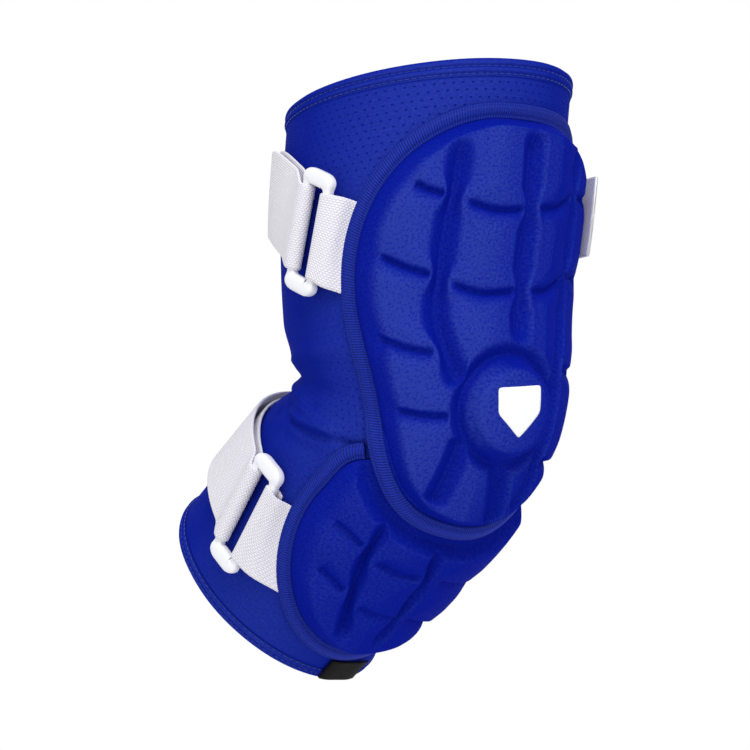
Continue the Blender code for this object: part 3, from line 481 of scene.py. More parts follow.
def near_line(points, line, closed=False):
    """Each point's distance to a line of points, and how far along the line it is, from 0 to 1. The
    points are taken in batches to keep memory small."""
    ends = np.roll(line, -1, axis=0) if closed else line[1:]
    starts = line if closed else line[:-1]
    run = ends - starts
    flat = points.reshape(-1, 3)
    distances = []
    ways = []
    for batch in np.array_split(flat, max(1, len(flat) // 8000)):
        apart = batch[:, None, :] - starts
        share = np.clip((apart * run).sum(-1) / (run * run).sum(-1), 0.0, 1.0)
        distance = np.linalg.norm(apart - share[..., None] * run, axis=-1)
        nearest = distance.argmin(-1)
        rows = np.arange(len(batch))
        distances.append(distance[rows, nearest])
        ways.append((nearest + share[rows, nearest]) / len(starts))
    shape = points.shape[:-1]
    return np.concatenate(distances).reshape(shape), np.concatenate(ways).reshape(shape)


def groove_places(pad, rows, count=40):
    """The s and turn of a smooth curve through a groove's rows."""
    rows = np.asarray(rows, float)
    ways = np.linspace(0.0, 1.0, len(rows))
    t = np.linspace(0.0, 1.0, count)
    return pad_place(pad, through(t, ways, rows[:, 0]), through(t, ways, rows[:, 1]))


def beside(s, turn, distance, closed=True):
    """The line that runs this far to the outer side of a line on the sleeve, measured on the cloth."""
    small = 1e-5
    here = on_sleeve(s, turn)
    per_s = (on_sleeve(s + small, turn) - here) / small
    per_turn = (on_sleeve(s, turn + small) - here) / small
    if closed:
        run = np.roll(here, -1, axis=0) - np.roll(here, 1, axis=0)
    else:
        run = np.gradient(here, axis=0)
    side = unit(np.cross(run, np.cross(per_turn, per_s)))
    ss = (per_s * per_s).sum(-1)
    st = (per_s * per_turn).sum(-1)
    tt = (per_turn * per_turn).sum(-1)
    by_s = (side * per_s).sum(-1)
    by_turn = (side * per_turn).sum(-1)
    whole = ss * tt - st * st
    move_s = distance * (by_s * tt - by_turn * st) / whole
    move_turn = distance * (by_turn * ss - by_s * st) / whole
    return s + move_s, turn + move_turn


def even_path(points, spacing, closed):
    """Shares along a path, from 0 to 1, that lie an even spacing apart, and the path's length."""
    ends = np.concatenate([points, points[:1]]) if closed else points
    steps = np.linalg.norm(np.diff(ends, axis=0), axis=-1)
    reached = np.concatenate([[0.0], np.cumsum(steps)])
    whole = reached[-1]
    count = max(8, int(round(whole / spacing)))
    wanted = np.linspace(0.0, whole, count, endpoint=not closed)
    return np.interp(wanted, reached, np.linspace(0.0, 1.0, len(ends))), whole


def grain(s, turn, seed, waves, low, high):
    """An uneven height between about -1 and 1: a sum of seeded waves in all directions on the cloth,
    with `low` to `high` waves per metre."""
    rng = np.random.default_rng(seed)
    u = turn * MEAN_RADIUS
    total = np.zeros(np.broadcast(s, turn).shape)
    for _ in range(waves):
        angle = rng.uniform(0.0, math.pi)
        pitch = rng.uniform(low, high) * 2 * math.pi
        phase = rng.uniform(0.0, 2 * math.pi)
        total = total + np.sin(pitch * (u * math.cos(angle) + s * math.sin(angle)) + phase)
    return total / math.sqrt(waves)


def grid_faces(rows, columns, ring_rows=False, ring_columns=False):
    """Corner numbers of a grid's quads. A grid that runs in a ring joins up with itself."""
    index = np.arange(rows * columns).reshape(rows, columns)
    if ring_columns:
        index = np.concatenate([index, index[:, :1]], axis=1)
    if ring_rows:
        index = np.concatenate([index, index[:1]], axis=0)
    quads = np.stack([index[:-1, :-1], index[:-1, 1:], index[1:, 1:], index[1:, :-1]], axis=-1)
    return quads.reshape(-1, 4)


def make_piece(name, points, faces, uv, face_uv, material, node=None, attributes=None):
    """A finished piece from points and quads or triangles. `uv` holds places in metres on the cloth
    and `face_uv` picks one for each face corner. It is turned outwards, rides on the root and, where
    a node is named, stands for that node."""
    mesh = bpy.data.meshes.new(name)
    mesh.vertices.add(len(points))
    mesh.vertices.foreach_set("co", points.astype(np.float32).ravel())
    corners = np.concatenate([part.ravel() for part in faces]).astype(np.int32)
    counts = np.concatenate([np.full(len(part), part.shape[1]) for part in faces]).astype(np.int32)
    mesh.loops.add(len(corners))
    mesh.loops.foreach_set("vertex_index", corners)
    mesh.polygons.add(len(counts))
    starts = np.concatenate([[0], np.cumsum(counts)[:-1]]).astype(np.int32)
    mesh.polygons.foreach_set("loop_start", starts)
    mesh.update(calc_edges=True)
    layer = mesh.uv_layers.new(name="cloth")
    picked = np.concatenate([part.ravel() for part in face_uv])
    layer.data.foreach_set("uv", uv[picked].astype(np.float32).ravel())
    for key, values in (attributes or {}).items():
        attribute = mesh.attributes.new(key, "FLOAT", "POINT")
        attribute.data.foreach_set("value", values.astype(np.float32).ravel())
    if signed_volume(points, faces) < 0:
        mesh.flip_normals()
    mesh.shade_smooth()
    mesh.materials.append(material)
    mesh.validate()
    piece = bpy.data.objects.new(name, mesh)
    bpy.context.scene.collection.objects.link(piece)
    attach(piece, BODY)
    if node:
        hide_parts(node)
    return piece


def signed_volume(points, faces):
    """Six times the volume inside the faces: positive where they face outwards."""
    total = 0.0
    for part in faces:
        first = points[part[:, 0]]
        for k in range(1, part.shape[1] - 1):
            total += (first * np.cross(points[part[:, k]], points[part[:, k + 1]])).sum()
    return total


def grid_piece(name, points, uv, material, node=None, ring_rows=False, attributes=None):
    """A closed piece from a grid whose columns run round a profile and whose rows follow a path: a
    ring of rows, or a run whose two ends are closed by a fan. `uv` has one more column, and one more
    row where the rows run in a ring, so that the pattern has no jump at the seam."""
    rows, columns = points.shape[:2]
    faces = [grid_faces(rows, columns, ring_rows, True)]
    face_uv = [grid_faces(uv.shape[0], uv.shape[1])]
    flat = points.reshape(-1, 3)
    flat_uv = uv.reshape(-1, 2)
    if not ring_rows:
        middles = np.stack([points[0].mean(0), points[-1].mean(0)])
        flat = np.concatenate([flat, middles])
        around = np.arange(columns)
        onward = np.roll(around, -1)
        last = (rows - 1) * columns
        first_cap = np.stack([np.full(columns, rows * columns), onward, around], axis=-1)
        last_cap = np.stack([np.full(columns, rows * columns + 1), last + around, last + onward], axis=-1)
        faces += [first_cap, last_cap]
        last_uv = (uv.shape[0] - 1) * uv.shape[1]
        face_uv.append(np.stack([around, around + 1, around], axis=-1))
        face_uv.append(np.stack([around, around, around + 1], axis=-1) + last_uv)
        if attributes:
            attributes = {
                key: np.concatenate([values.ravel(), [0.0, 0.0]]) for key, values in attributes.items()
            }
    return make_piece(name, flat, faces, flat_uv, face_uv, material, node, attributes)


def add_node(tree, kind, inputs=None, **settings):
    """Adds a node with its own settings, then its inputs: a socket is linked, a value is set."""
    made = tree.nodes.new(kind)
    for key, value in settings.items():
        setattr(made, key, value)
    for key, value in (inputs or {}).items():
        if isinstance(value, bpy.types.NodeSocket):
            tree.links.new(value, made.inputs[key])
        else:
            made.inputs[key].default_value = value
    return made


def math_chain(tree, operation, first, second=None, third=None):
    """The result of one sum on sockets or numbers."""
    values = [value for value in (first, second, third) if value is not None]
    made = add_node(tree, "ShaderNodeMath", dict(enumerate(values)), operation=operation)
    return made.outputs[0]


def new_material(name, base, roughness, specular, **extra):
    """A Principled material: its tree and its shader, with the numbers set on the shader itself."""
    material = bpy.data.materials.new(name)
    material.use_nodes = True
    tree = material.node_tree
    shader = tree.nodes["Principled BSDF"]
    shader.inputs["Base Color"].default_value = (*base, 1.0)
    shader.inputs["Roughness"].default_value = roughness
    shader.inputs["Specular IOR Level"].default_value = specular
    for key, value in extra.items():
        shader.inputs[key.replace("_", " ")].default_value = value
    return material, tree, shader


def cloth_place(tree):
    """The two sockets of the cloth's own place in metres: across and along."""
    place = add_node(tree, "ShaderNodeUVMap", uv_map="cloth")
    split = add_node(tree, "ShaderNodeSeparateXYZ", {0: place.outputs["UV"]})
    return place.outputs["UV"], split.outputs["X"], split.outputs["Y"]


def knit_height(tree, across, along, wale, course):
    """Knit loops: in each wale the threads run down in a V, a hump to each course."""
    column = math_chain(tree, "FRACT", math_chain(tree, "DIVIDE", across, wale))
    lean = math_chain(tree, "ABSOLUTE", math_chain(tree, "SUBTRACT", column, 0.5))
    row = math_chain(tree, "MULTIPLY_ADD", lean, 0.9, math_chain(tree, "DIVIDE", along, course))
    hump = math_chain(tree, "SINE", math_chain(tree, "MULTIPLY", math_chain(tree, "FRACT", row), math.pi))
    edge = math_chain(tree, "POWER", math_chain(tree, "MULTIPLY", lean, 2.0), 3.0)
    return math_chain(tree, "MULTIPLY", hump, math_chain(tree, "SUBTRACT", 1.0, edge))


def hole_mask(tree, across, along, spacing, pitch, half_long, half_high):
    """1 in the small eyelets of a mesh knit: rows `pitch` apart, each shifted by half a spacing."""
    row = math_chain(tree, "DIVIDE", along, pitch)
    odd = math_chain(tree, "MULTIPLY", math_chain(tree, "MODULO", math_chain(tree, "FLOOR", row), 2.0), 0.5)
    column = math_chain(tree, "ADD", math_chain(tree, "DIVIDE", across, spacing), odd)
    x = math_chain(tree, "SUBTRACT", math_chain(tree, "FRACT", column), 0.5)
    y = math_chain(tree, "SUBTRACT", math_chain(tree, "FRACT", row), 0.5)
    x = math_chain(tree, "POWER", math_chain(tree, "MULTIPLY", x, spacing / half_long), 2.0)
    y = math_chain(tree, "POWER", math_chain(tree, "MULTIPLY", y, pitch / half_high), 2.0)
    inside = math_chain(tree, "SUBTRACT", 1.6, math_chain(tree, "ADD", x, y))
    return add_node(tree, "ShaderNodeClamp", {"Value": inside}).outputs[0]


def blended(tree, shader, factor, low, high):
    """Makes the base colour run from `low` to `high` with a socket that runs from 0 to 1."""
    mix = add_node(
        tree, "ShaderNodeMix", {0: factor, 6: (*low, 1.0), 7: (*high, 1.0)}, data_type="RGBA"
    )
    tree.links.new(mix.outputs[2], shader.inputs["Base Color"])


def tinted(tree, shader, base, factor, share):
    """Makes the base colour lighter or darker by up to `share`, by a socket that runs from 0 to 1."""
    darker = [value * (1 - share) for value in base]
    lighter = [min(1.0, value * (1 + share)) for value in base]
    blended(tree, shader, factor, darker, lighter)


def bumped(tree, shader, height, distance, strength):
    """Gives the shader a bump of this real height in metres."""
    bump = add_node(
        tree, "ShaderNodeBump", {"Height": height, "Distance": distance, "Strength": strength}
    )
    tree.links.new(bump.outputs[0], shader.inputs["Normal"])


def facing_sheen(tree):
    """1 where the cloth faces the eye, falling to 0 where it turns 60 degrees away: a painted sheen in the
    cloth's colour, leaving painted shade where the cloth turns away."""
    slant = add_node(tree, "ShaderNodeLayerWeight", {"Blend": 0.5}).outputs["Facing"]
    share = math_chain(tree, "MULTIPLY_ADD", slant, -2.1, 1.05)
    return add_node(tree, "ShaderNodeClamp", {"Value": share}).outputs[0]


def stretch_knit(colours):
    """Polyester and elastane mesh knit, matt: fine loops, small dark eyelets in staggered rows where the
    attribute `mesh` says, and a patchy paler blue where the cloth faces the eye, which is a painted sheen
    broken into patches by random tone."""
    material, tree, shader = new_material("stretch_knit", colours.knit, 0.8, 0.02)
    place, across, along = cloth_place(tree)
    loops = knit_height(tree, across, along, 0.9 * MM, 0.9 * MM)
    holes = hole_mask(tree, across, along, 3.15 * MM, 2.75 * MM, 0.42 * MM, 0.26 * MM)
    zone = add_node(tree, "ShaderNodeAttribute", attribute_name="mesh").outputs["Fac"]
    holes = math_chain(tree, "MULTIPLY", holes, zone)
    fuzz = add_node(tree, "ShaderNodeTexNoise", {"Vector": place, "Scale": 1 / (1.1 * MM), "Detail": 2.0})
    height = math_chain(tree, "MULTIPLY_ADD", fuzz.outputs[0], 0.9, math_chain(tree, "MULTIPLY", loops, 0.5))
    height = math_chain(tree, "SUBTRACT", height, math_chain(tree, "MULTIPLY", holes, 2.2))
    # Painted sheen where the cloth faces the eye, broken into patches by random tone.
    pale = math_chain(tree, "MULTIPLY", facing_sheen(tree), math_chain(tree, "MULTIPLY", fuzz.outputs[0], 1.3))
    shade = math_chain(tree, "SUBTRACT", pale, math_chain(tree, "MULTIPLY", holes, 0.9))
    shade = add_node(tree, "ShaderNodeClamp", {"Value": shade}).outputs[0]
    blended(tree, shader, shade, colours.knit, colours.raised)
    bumped(tree, shader, height, 0.16 * MM, 1.0)
    return material


def moulded_cloth(colours):
    """Knit pressed over foam in a hot mould, matt: a painted sheen makes it paler on the raised blocks where
    they face the eye, and painted shade leaves it deep blue in the grooves and on the slopes, with specks
    and a fine grain of loops all over."""
    material, tree, shader = new_material("moulded_cloth", colours.raised, 0.8, 0.02)
    place, across, along = cloth_place(tree)
    loops = knit_height(tree, across, along, 0.9 * MM, 0.8 * MM)
    fuzz = add_node(tree, "ShaderNodeTexNoise", {"Vector": place, "Scale": 1 / (1.0 * MM), "Detail": 3.0})
    raised = add_node(tree, "ShaderNodeAttribute", attribute_name="raised").outputs["Fac"]
    speck = math_chain(tree, "SUBTRACT", math_chain(tree, "MULTIPLY", fuzz.outputs[0], 4.4), 2.2)
    # Painted sheen: strongest on the block tops where they face the eye, weak in the grooves and on the
    # slopes, which keep the painted shade.
    sheen_share = math_chain(tree, "MULTIPLY_ADD", raised, 0.85, 0.15)
    pale = math_chain(tree, "MULTIPLY", facing_sheen(tree), sheen_share)
    strength = math_chain(tree, "MULTIPLY_ADD", pale, 0.7, 0.1)
    uneven = math_chain(tree, "MULTIPLY_ADD", speck, strength, pale)
    uneven = add_node(tree, "ShaderNodeClamp", {"Value": uneven}).outputs[0]
    blended(tree, shader, uneven, colours.sunk, colours.raised)
    height = math_chain(tree, "MULTIPLY_ADD", fuzz.outputs[0], 0.8, math_chain(tree, "MULTIPLY", loops, 0.5))
    bumped(tree, shader, height, 0.13 * MM, 1.0)
    return material


def overlocked_tape(colours, sizes):
    """Knit tape sewn over by an overlocker: rows of close, shiny threads across it, which catch the light
    one by one. Their colour is painted paler on each thread's crest as a painted highlight and darker
    between the threads as painted shade, mixed with random tone."""
    material, tree, shader = new_material("overlocked_tape", colours.tape, 0.55, 0.12)
    place, across, along = cloth_place(tree)
    row = math_chain(tree, "DIVIDE", along, sizes.rib_pitch)
    lean = math_chain(tree, "DIVIDE", across, 3.2 * MM)
    turns = math_chain(tree, "ADD", row, lean)
    thread = math_chain(tree, "SINE", math_chain(tree, "MULTIPLY", turns, 2 * math.pi))
    thread = math_chain(tree, "MULTIPLY_ADD", thread, 0.5, 0.5)
    fuzz = add_node(tree, "ShaderNodeTexNoise", {"Vector": place, "Scale": 1 / (0.8 * MM), "Detail": 2.0})
    height = math_chain(tree, "MULTIPLY_ADD", fuzz.outputs[0], 0.6, thread)
    # Painted highlight on each thread's crest and painted shade between the threads, mixed with random tone
    # from the noise.
    shade = math_chain(tree, "MULTIPLY", math_chain(tree, "ADD", fuzz.outputs[0], thread), 0.5)
    tinted(tree, shader, colours.tape, shade, 0.75)
    bumped(tree, shader, height, 0.16 * MM, 1.0)
    return material


def woven_webbing(colours):
    """Polyester webbing: plump warp yarns that dive under a weft every 1.35 mm, so that it looks like rows
    of small grains, with painted shade making it a little grey in the hollows."""
    material, tree, shader = new_material(
        "woven_webbing", colours.webbing, 0.6, 0.25, Sheen_Weight=0.1, Sheen_Roughness=0.5
    )
    _, across, along = cloth_place(tree)
    yarn = math_chain(tree, "DIVIDE", across, 0.85 * MM)
    odd = math_chain(tree, "MULTIPLY", math_chain(tree, "MODULO", math_chain(tree, "FLOOR", yarn), 2.0), 0.5)
    pick = math_chain(tree, "ADD", math_chain(tree, "DIVIDE", along, 1.35 * MM), odd)
    plump = math_chain(tree, "SINE", math_chain(tree, "MULTIPLY", math_chain(tree, "FRACT", yarn), math.pi))
    hump = math_chain(tree, "SINE", math_chain(tree, "MULTIPLY", math_chain(tree, "FRACT", pick), math.pi))
    plump = math_chain(tree, "POWER", plump, 0.6)
    hump = math_chain(tree, "POWER", hump, 0.8)
    grainy = math_chain(tree, "MULTIPLY", plump, hump)
    # Painted shade: the webbing's colour is darkened in the hollows between the yarns.
    hollow = [value * 0.80 for value in colours.webbing]
    blended(tree, shader, grainy, hollow, colours.webbing)
    bumped(tree, shader, grainy, 0.22 * MM, 1.0)
    return material


def moulded_plastic(colours):
    """Injection-moulded acetal: white, satin to glossy, with the faintest orange peel."""
    material, tree, shader = new_material("moulded_plastic", colours.plastic, 0.3, 0.5, IOR=1.48)
    place = add_node(tree, "ShaderNodeTexCoord").outputs["Object"]
    peel = add_node(tree, "ShaderNodeTexNoise", {"Vector": place, "Scale": 1 / (1.5 * MM), "Detail": 1.0})
    bumped(tree, shader, peel.outputs[0], 0.02 * MM, 0.6)
    return material


def woven_label(colours):
    """Satin-woven polyester label: black, with fine raised threads across it."""
    material, tree, shader = new_material("woven_label", colours.label, 0.6, 0.08)
    _, across, along = cloth_place(tree)
    thread = math_chain(tree, "SINE", math_chain(tree, "MULTIPLY", along, 2 * math.pi / (0.5 * MM)))
    cross = math_chain(tree, "SINE", math_chain(tree, "MULTIPLY", across, 2 * math.pi / (0.9 * MM)))
    height = math_chain(tree, "MULTIPLY_ADD", thread, 0.4, math_chain(tree, "MULTIPLY", cross, 0.2))
    bumped(tree, shader, height, 0.1 * MM, 1.0)
    return material


def transfer_ink(colours):
    """Heat-transfer ink: a thin white film that lets the cloth's grain show through."""
    material, tree, shader = new_material("transfer_ink", colours.ink, 0.45, 0.4)
    place = add_node(tree, "ShaderNodeTexCoord").outputs["Object"]
    fuzz = add_node(tree, "ShaderNodeTexNoise", {"Vector": place, "Scale": 1 / (1.0 * MM), "Detail": 3.0})
    bumped(tree, shader, fuzz.outputs[0], 0.05 * MM, 1.0)
    return material


def twisted_thread(name, base):
    """Polyester sewing thread: two plies twisted together, with a soft shine."""
    material, tree, shader = new_material(name, base, 0.42, 0.3, Sheen_Weight=0.1)
    _, across, along = cloth_place(tree)
    twist = math_chain(tree, "ADD", math_chain(tree, "DIVIDE", along, 0.8 * MM), across)
    ply = math_chain(tree, "SINE", math_chain(tree, "MULTIPLY", twist, 2 * math.pi))
    bumped(tree, shader, ply, 0.05 * MM, 1.0)
    return material


def studio_board(colours):
    """Matt painted board under the guard, almost white."""
    material, tree, shader = new_material("studio_board", colours.floor, 0.9, 0.1)
    place = add_node(tree, "ShaderNodeTexCoord").outputs["Object"]
    paint = add_node(tree, "ShaderNodeTexNoise", {"Vector": place, "Scale": 60.0, "Detail": 2.0})
    tinted(tree, shader, colours.floor, paint.outputs[0], 0.01)
    return material


def material_named(name, maker):
    """The material of that name, made the first time it is asked for."""
    return bpy.data.materials.get(name) or maker()


def crease_depth(s, turn):
    """How far the pulled creases lower the cloth: a rounded valley along each, fading at its ends."""
    total = np.zeros(np.broadcast(s, turn).shape)
    for row in CROOK_CREASES:
        run_s = row.s_end - row.s_start
        run_u = (row.turn_end - row.turn_start) * MEAN_RADIUS
        apart_s = s - row.s_start
        apart_u = (turn - row.turn_start) * MEAN_RADIUS
        share = (apart_s * run_s + apart_u * run_u) / (run_s ** 2 + run_u ** 2)
        clamped = np.clip(share, 0.0, 1.0)
        distance = np.hypot(apart_s - clamped * run_s, apart_u - clamped * run_u)
        fade = smooth_step(np.minimum(clamped, 1 - clamped) * 4 + 0.3)
        total = total + row.depth * fade * np.exp(-((distance / row.half) ** 2))
    return total


def sleeve_wrinkles(s, turn):
    """Finer unevenness of the sleeve: loose ripples near the crook, a shallow crumple in it and the
    pulled creases, fading to nothing where pads and straps lie on the cloth."""
    crook = np.exp(-(((s - BEND_ARC / 2) / RIPPLE_SPREAD) ** 2))
    inside = smooth_step((np.abs(np.mod(turn, 2 * math.pi) - math.pi) * -1 + 1.75) / 0.9)
    ripple = grain(s, turn, 11, 9, 25.0, 70.0)
    crumple = grain(s, turn, 5, 12, 90.0, 190.0)
    along = (s - DIMPLE_PLACE) / DIMPLE_LONG
    across = (turn - DIMPLE_TURN) / DIMPLE_ROUND
    dimple = np.exp(-along ** 2 - across ** 2) * (CRUMPLE_HEIGHT * crumple - DIMPLE_DEPTH)
    return crook * inside * RIPPLE_HEIGHT * ripple + dimple - crease_depth(s, turn)


def build_sleeve(colours):
    """The knitted tube: a closed loop of outer and inner stations along the arm, carried round the
    arm. Its outer side is on_sleeve with wrinkles added and its inner side lies one wall below."""
    start = TOP_RIM + TOP_HEM_HEIGHT - SEAM_TUCK
    end = CUFF_RIM - CUFF_HEM_HEIGHT + SEAM_TUCK
    around = 330
    outer_s = np.linspace(start, end, 215)
    inner_s = np.linspace(end, start, 50)
    turn = np.linspace(0.0, 2 * math.pi, around, endpoint=False)[:, None]
    outer = on_sleeve(outer_s, turn, sleeve_wrinkles(outer_s, turn))
    inner = on_sleeve(inner_s, turn, -SLEEVE_WALL)
    points = np.concatenate([outer, inner], axis=1)
    s = np.concatenate([outer_s, inner_s, outer_s[:1]])
    wide_turn = np.linspace(0.0, 2 * math.pi, around + 1)[:, None]
    uv = np.stack(np.broadcast_arrays(wide_turn * MEAN_RADIUS, s), axis=-1)
    near_top = smooth_step((MESH_END - outer_s) / MESH_FADE)
    near_crook = CROOK_MESH * np.exp(-(((outer_s - BEND_ARC / 2) / CROOK_MESH_SPREAD) ** 2))
    front = smooth_step((np.cos(turn - 1.1) + 0.2) / 0.8)
    zone = np.maximum(near_top, near_crook) * (0.35 + 0.65 * front)
    mesh = np.concatenate([zone, np.zeros((around, len(inner_s)))], axis=1)
    material = material_named("stretch_knit", lambda: stretch_knit(colours))
    return grid_piece(
        "sleeve_cloth", points, uv, material, "sleeve", ring_rows=True, attributes={"mesh": mesh}
    )


def hem_profile(height, lines):
    """A folded hem's cross-section from its free edge to its sewn edge and back: the lift of the
    outer side bulges and dips at each line of stitching, and both edges are rounded."""
    share = np.linspace(0.0, 1.0, 25)
    lift = HEM_PROUD * (1 - (2 * share - 1) ** 4)
    for line in lines:
        lift = lift - 0.9 * HEM_PROUD * np.exp(-(((share - line) * height / HEM_SEAM) ** 2))
    edge = np.minimum(share, 1 - share) * height
    half = SLEEVE_WALL / 2
    round_off = half * np.sqrt(np.clip(1 - np.minimum(edge / half, 1.0), 0.0, 1.0))
    outer = lift - round_off * 0.8
    inner = round_off * 0.8 - SLEEVE_WALL
    return np.concatenate([share, share[::-1]]), np.concatenate([outer, inner[::-1]])


def build_hem(name, node, edge, sewn, lines, colours):
    """A folded hem: the hem's cross-section carried round the arm at a rim."""
    shares, lifts = hem_profile(abs(sewn - edge), lines)
    around = 300
    turn = np.linspace(0.0, 2 * math.pi, around, endpoint=False)[:, None]
    s = edge + (sewn - edge) * shares
    slack = HEM_SLACK * grain(s, turn, 3, 6, 20.0, 60.0)
    points = on_sleeve(s, turn, lifts + slack)
    wide_turn = np.linspace(0.0, 2 * math.pi, around + 1)[:, None]
    uv = np.stack(np.broadcast_arrays(wide_turn * MEAN_RADIUS, np.append(s, s[0])), axis=-1)
    mesh = np.zeros(points.shape[:2])
    material = material_named("stretch_knit", lambda: stretch_knit(colours))
    return grid_piece(name, points, uv, material, node, ring_rows=True, attributes={"mesh": mesh})


def pad_grid(pad, cells):
    """The s and turn of a grid that fills a pad: a square grid drawn out to a disc, then to its rim."""
    u, v = np.meshgrid(np.linspace(-1, 1, cells + 1), np.linspace(-1, 1, cells + 1), indexing="ij")
    along = u * np.sqrt(1 - v * v / 2)
    across = v * np.sqrt(1 - u * u / 2)
    share = np.minimum(np.hypot(along, across), 1.0)
    return pad_spread(pad, np.arctan2(along, across), share * (1 - 2 * GAP / pad.length))


def rim_line(pad, level, count=160):
    """The pad's rim as a ring of points at this height above the cloth."""
    s, turn = pad_spread(pad, np.linspace(0.0, 2 * math.pi, count, endpoint=False), 1.0)
    return on_sleeve(s, turn, level)


def rim_rise(pad, points, level):
    """The share of its thickness that a pad has reached: a small rolled lip at the tape, then an
    even slope with a rounded shoulder, long at the sides and short at the ends."""
    distance, way = near_line(points, rim_line(pad, level), closed=True)
    slope = END_SLOPE + (SIDE_SLOPE - END_SLOPE) * np.abs(np.cos(way * 2 * math.pi)) ** 1.5
    lip = LIP_SHARE * (1 - np.exp(-distance / LIP_ROUND))
    ramp = soft_ramp((distance - LIP_WIDTH) / (slope - LIP_WIDTH), 0.06)
    return lip + (1 - lip) * ramp - 0.004


def carve(height, pad, points, long_grooves, creases, sizes, scale, spine):
    """The height with V-shaped grooves and short creases let in. A groove's wall rises straight from
    a thin spine and rounds over at the block's shoulder; it is pinched where a crease comes near. A
    crease falls steeply on its upper side and rises slowly on its lower side."""
    level = pad.thickness / 2
    nearest = np.full(height.shape, 1.0)
    cuts = []
    for rows in creases:
        s, turn = groove_places(pad, rows)
        line = on_sleeve(s, turn, level)
        distance, way = near_line(points, line)
        nearest = np.minimum(nearest, distance)
        cuts.append((line, distance, way))
    wide = smooth_step((nearest - PINCH_START) / PINCH_REACH)
    half = (sizes.groove_pinch + (sizes.groove_wide - sizes.groove_pinch) * wide) * scale
    depth = sizes.groove_depth * (0.55 + 0.45 * scale)
    away = np.full(height.shape, 1.0)
    for rows in long_grooves:
        s, turn = groove_places(pad, rows)
        distance, way = near_line(points, on_sleeve(s, turn, level))
        taper = smooth_step(np.minimum(way, 1 - way) * 9 + 0.35)
        wall = pad.thickness - depth * taper * (1 - soft_ramp(distance / half, 0.09))
        ridge = spine * taper * np.exp(-((distance / sizes.spine_width) ** 2))
        height = soft_min(height, wall, SHOULDER_ROUND) + ridge
        away = np.minimum(away, distance - half)
    for line, distance, way in cuts:
        down = signed_side(points, line, way)
        taper = smooth_step(np.minimum(way * 5, (1 - way) * 9) + 0.2)
        steep = np.exp(-((distance / CREASE_STEEP) ** 1.5))
        slow = np.exp(-((distance / CREASE_SLOW) ** 1.15))
        height = height - sizes.crease_depth * scale ** 0.5 * taper * np.where(down > 0, slow, steep)
        away = np.minimum(away, distance)
    return height + sizes.crown * (smooth_step(away / CROWN_REACH) - 0.4)


def signed_side(points, line, way):
    """Positive for points that lie further down the arm than the nearest part of a crease."""
    spots = way * (len(line) - 1)
    nearest = np.stack([np.interp(spots, np.arange(len(line)), line[:, k]) for k in range(3)], axis=-1)
    run = unit(line[-1] - line[0])
    middle = line[len(line) // 2]
    outward = unit(middle * np.array([1.0, 1.0, 0.0]))
    down = np.cross(outward, run)
    down = down * np.sign(-down[2])
    return (points - nearest) @ down


def upper_pad_base(s, turn):
    """The upper pad's underside: on the cloth, and lifted where it passes over the lower pad's edge."""
    points = on_sleeve(s, turn)
    distance, _ = near_line(points, rim_line(LOWER_PAD, 0.0), closed=True)
    distance = np.where(is_inside(LOWER_PAD, s, turn), 0.0, distance)
    clear = smooth_step((distance - TAPE_WIDTH - 3 * GAP) / SIDE_SLOPE)
    return SEAT + (TAPE_HEIGHT + GAP) * (1 - clear)


def upper_pad_height(s, turn, sizes):
    """The upper pad's face above the cloth: blocks parted by grooves and creases, and the disc, a
    flat face that rolls over into a round moat."""
    pad = UPPER_PAD
    points = on_sleeve(s, turn, pad.thickness / 2)
    height = PAD_EDGE + (pad.thickness - PAD_EDGE) * rim_rise(pad, points, pad.thickness / 2)
    height = carve(
        height, pad, points, UPPER_LONG_GROOVES, UPPER_CREASES, sizes, 1.0, sizes.spine
    )
    disc_s, disc_turn = pad_place(pad, *DISC_PLACE)
    radius = np.linalg.norm(points - on_sleeve(disc_s, disc_turn, pad.thickness / 2), axis=-1)
    floor = pad.thickness - sizes.moat_depth
    bank = floor + sizes.moat_depth * soft_ramp((radius - DISC_RADIUS) / MOAT_WIDTH, 0.2)
    height = soft_min(height, bank, 0.5 * MM)
    fall = soft_ramp((radius - DISC_FACE_RADIUS) / (DISC_RADIUS - DISC_FACE_RADIUS), 0.12)
    face = sizes.disc_height - (sizes.disc_height - floor) * fall
    height = np.where(radius < DISC_RADIUS + MOAT_WIDTH, np.maximum(height, face), height)
    return np.maximum(height, upper_pad_base(s, turn) + 0.6 * PAD_EDGE)


def lower_pad_height(s, turn, sizes):
    """The lower pad's face above the cloth: thin under the upper pad, then blocks and grooves."""
    pad = LOWER_PAD
    points = on_sleeve(s, turn, pad.thickness / 2)
    rise = rim_rise(pad, points, pad.thickness / 2)
    distance, _ = near_line(points, rim_line(UPPER_PAD, pad.thickness / 2), closed=True)
    distance = np.where(is_inside(UPPER_PAD, s, turn), 0.0, distance)
    from_upper = smooth_step((distance - TAPE_WIDTH - UNDERLAP) / END_SLOPE)
    height = PAD_EDGE + (pad.thickness - PAD_EDGE) * np.minimum(rise, from_upper)
    height = carve(height, pad, points, LOWER_LONG_GROOVES, LOWER_CREASES, sizes, 0.6, 0.0)
    return np.maximum(height, SEAT + 0.6 * PAD_EDGE)


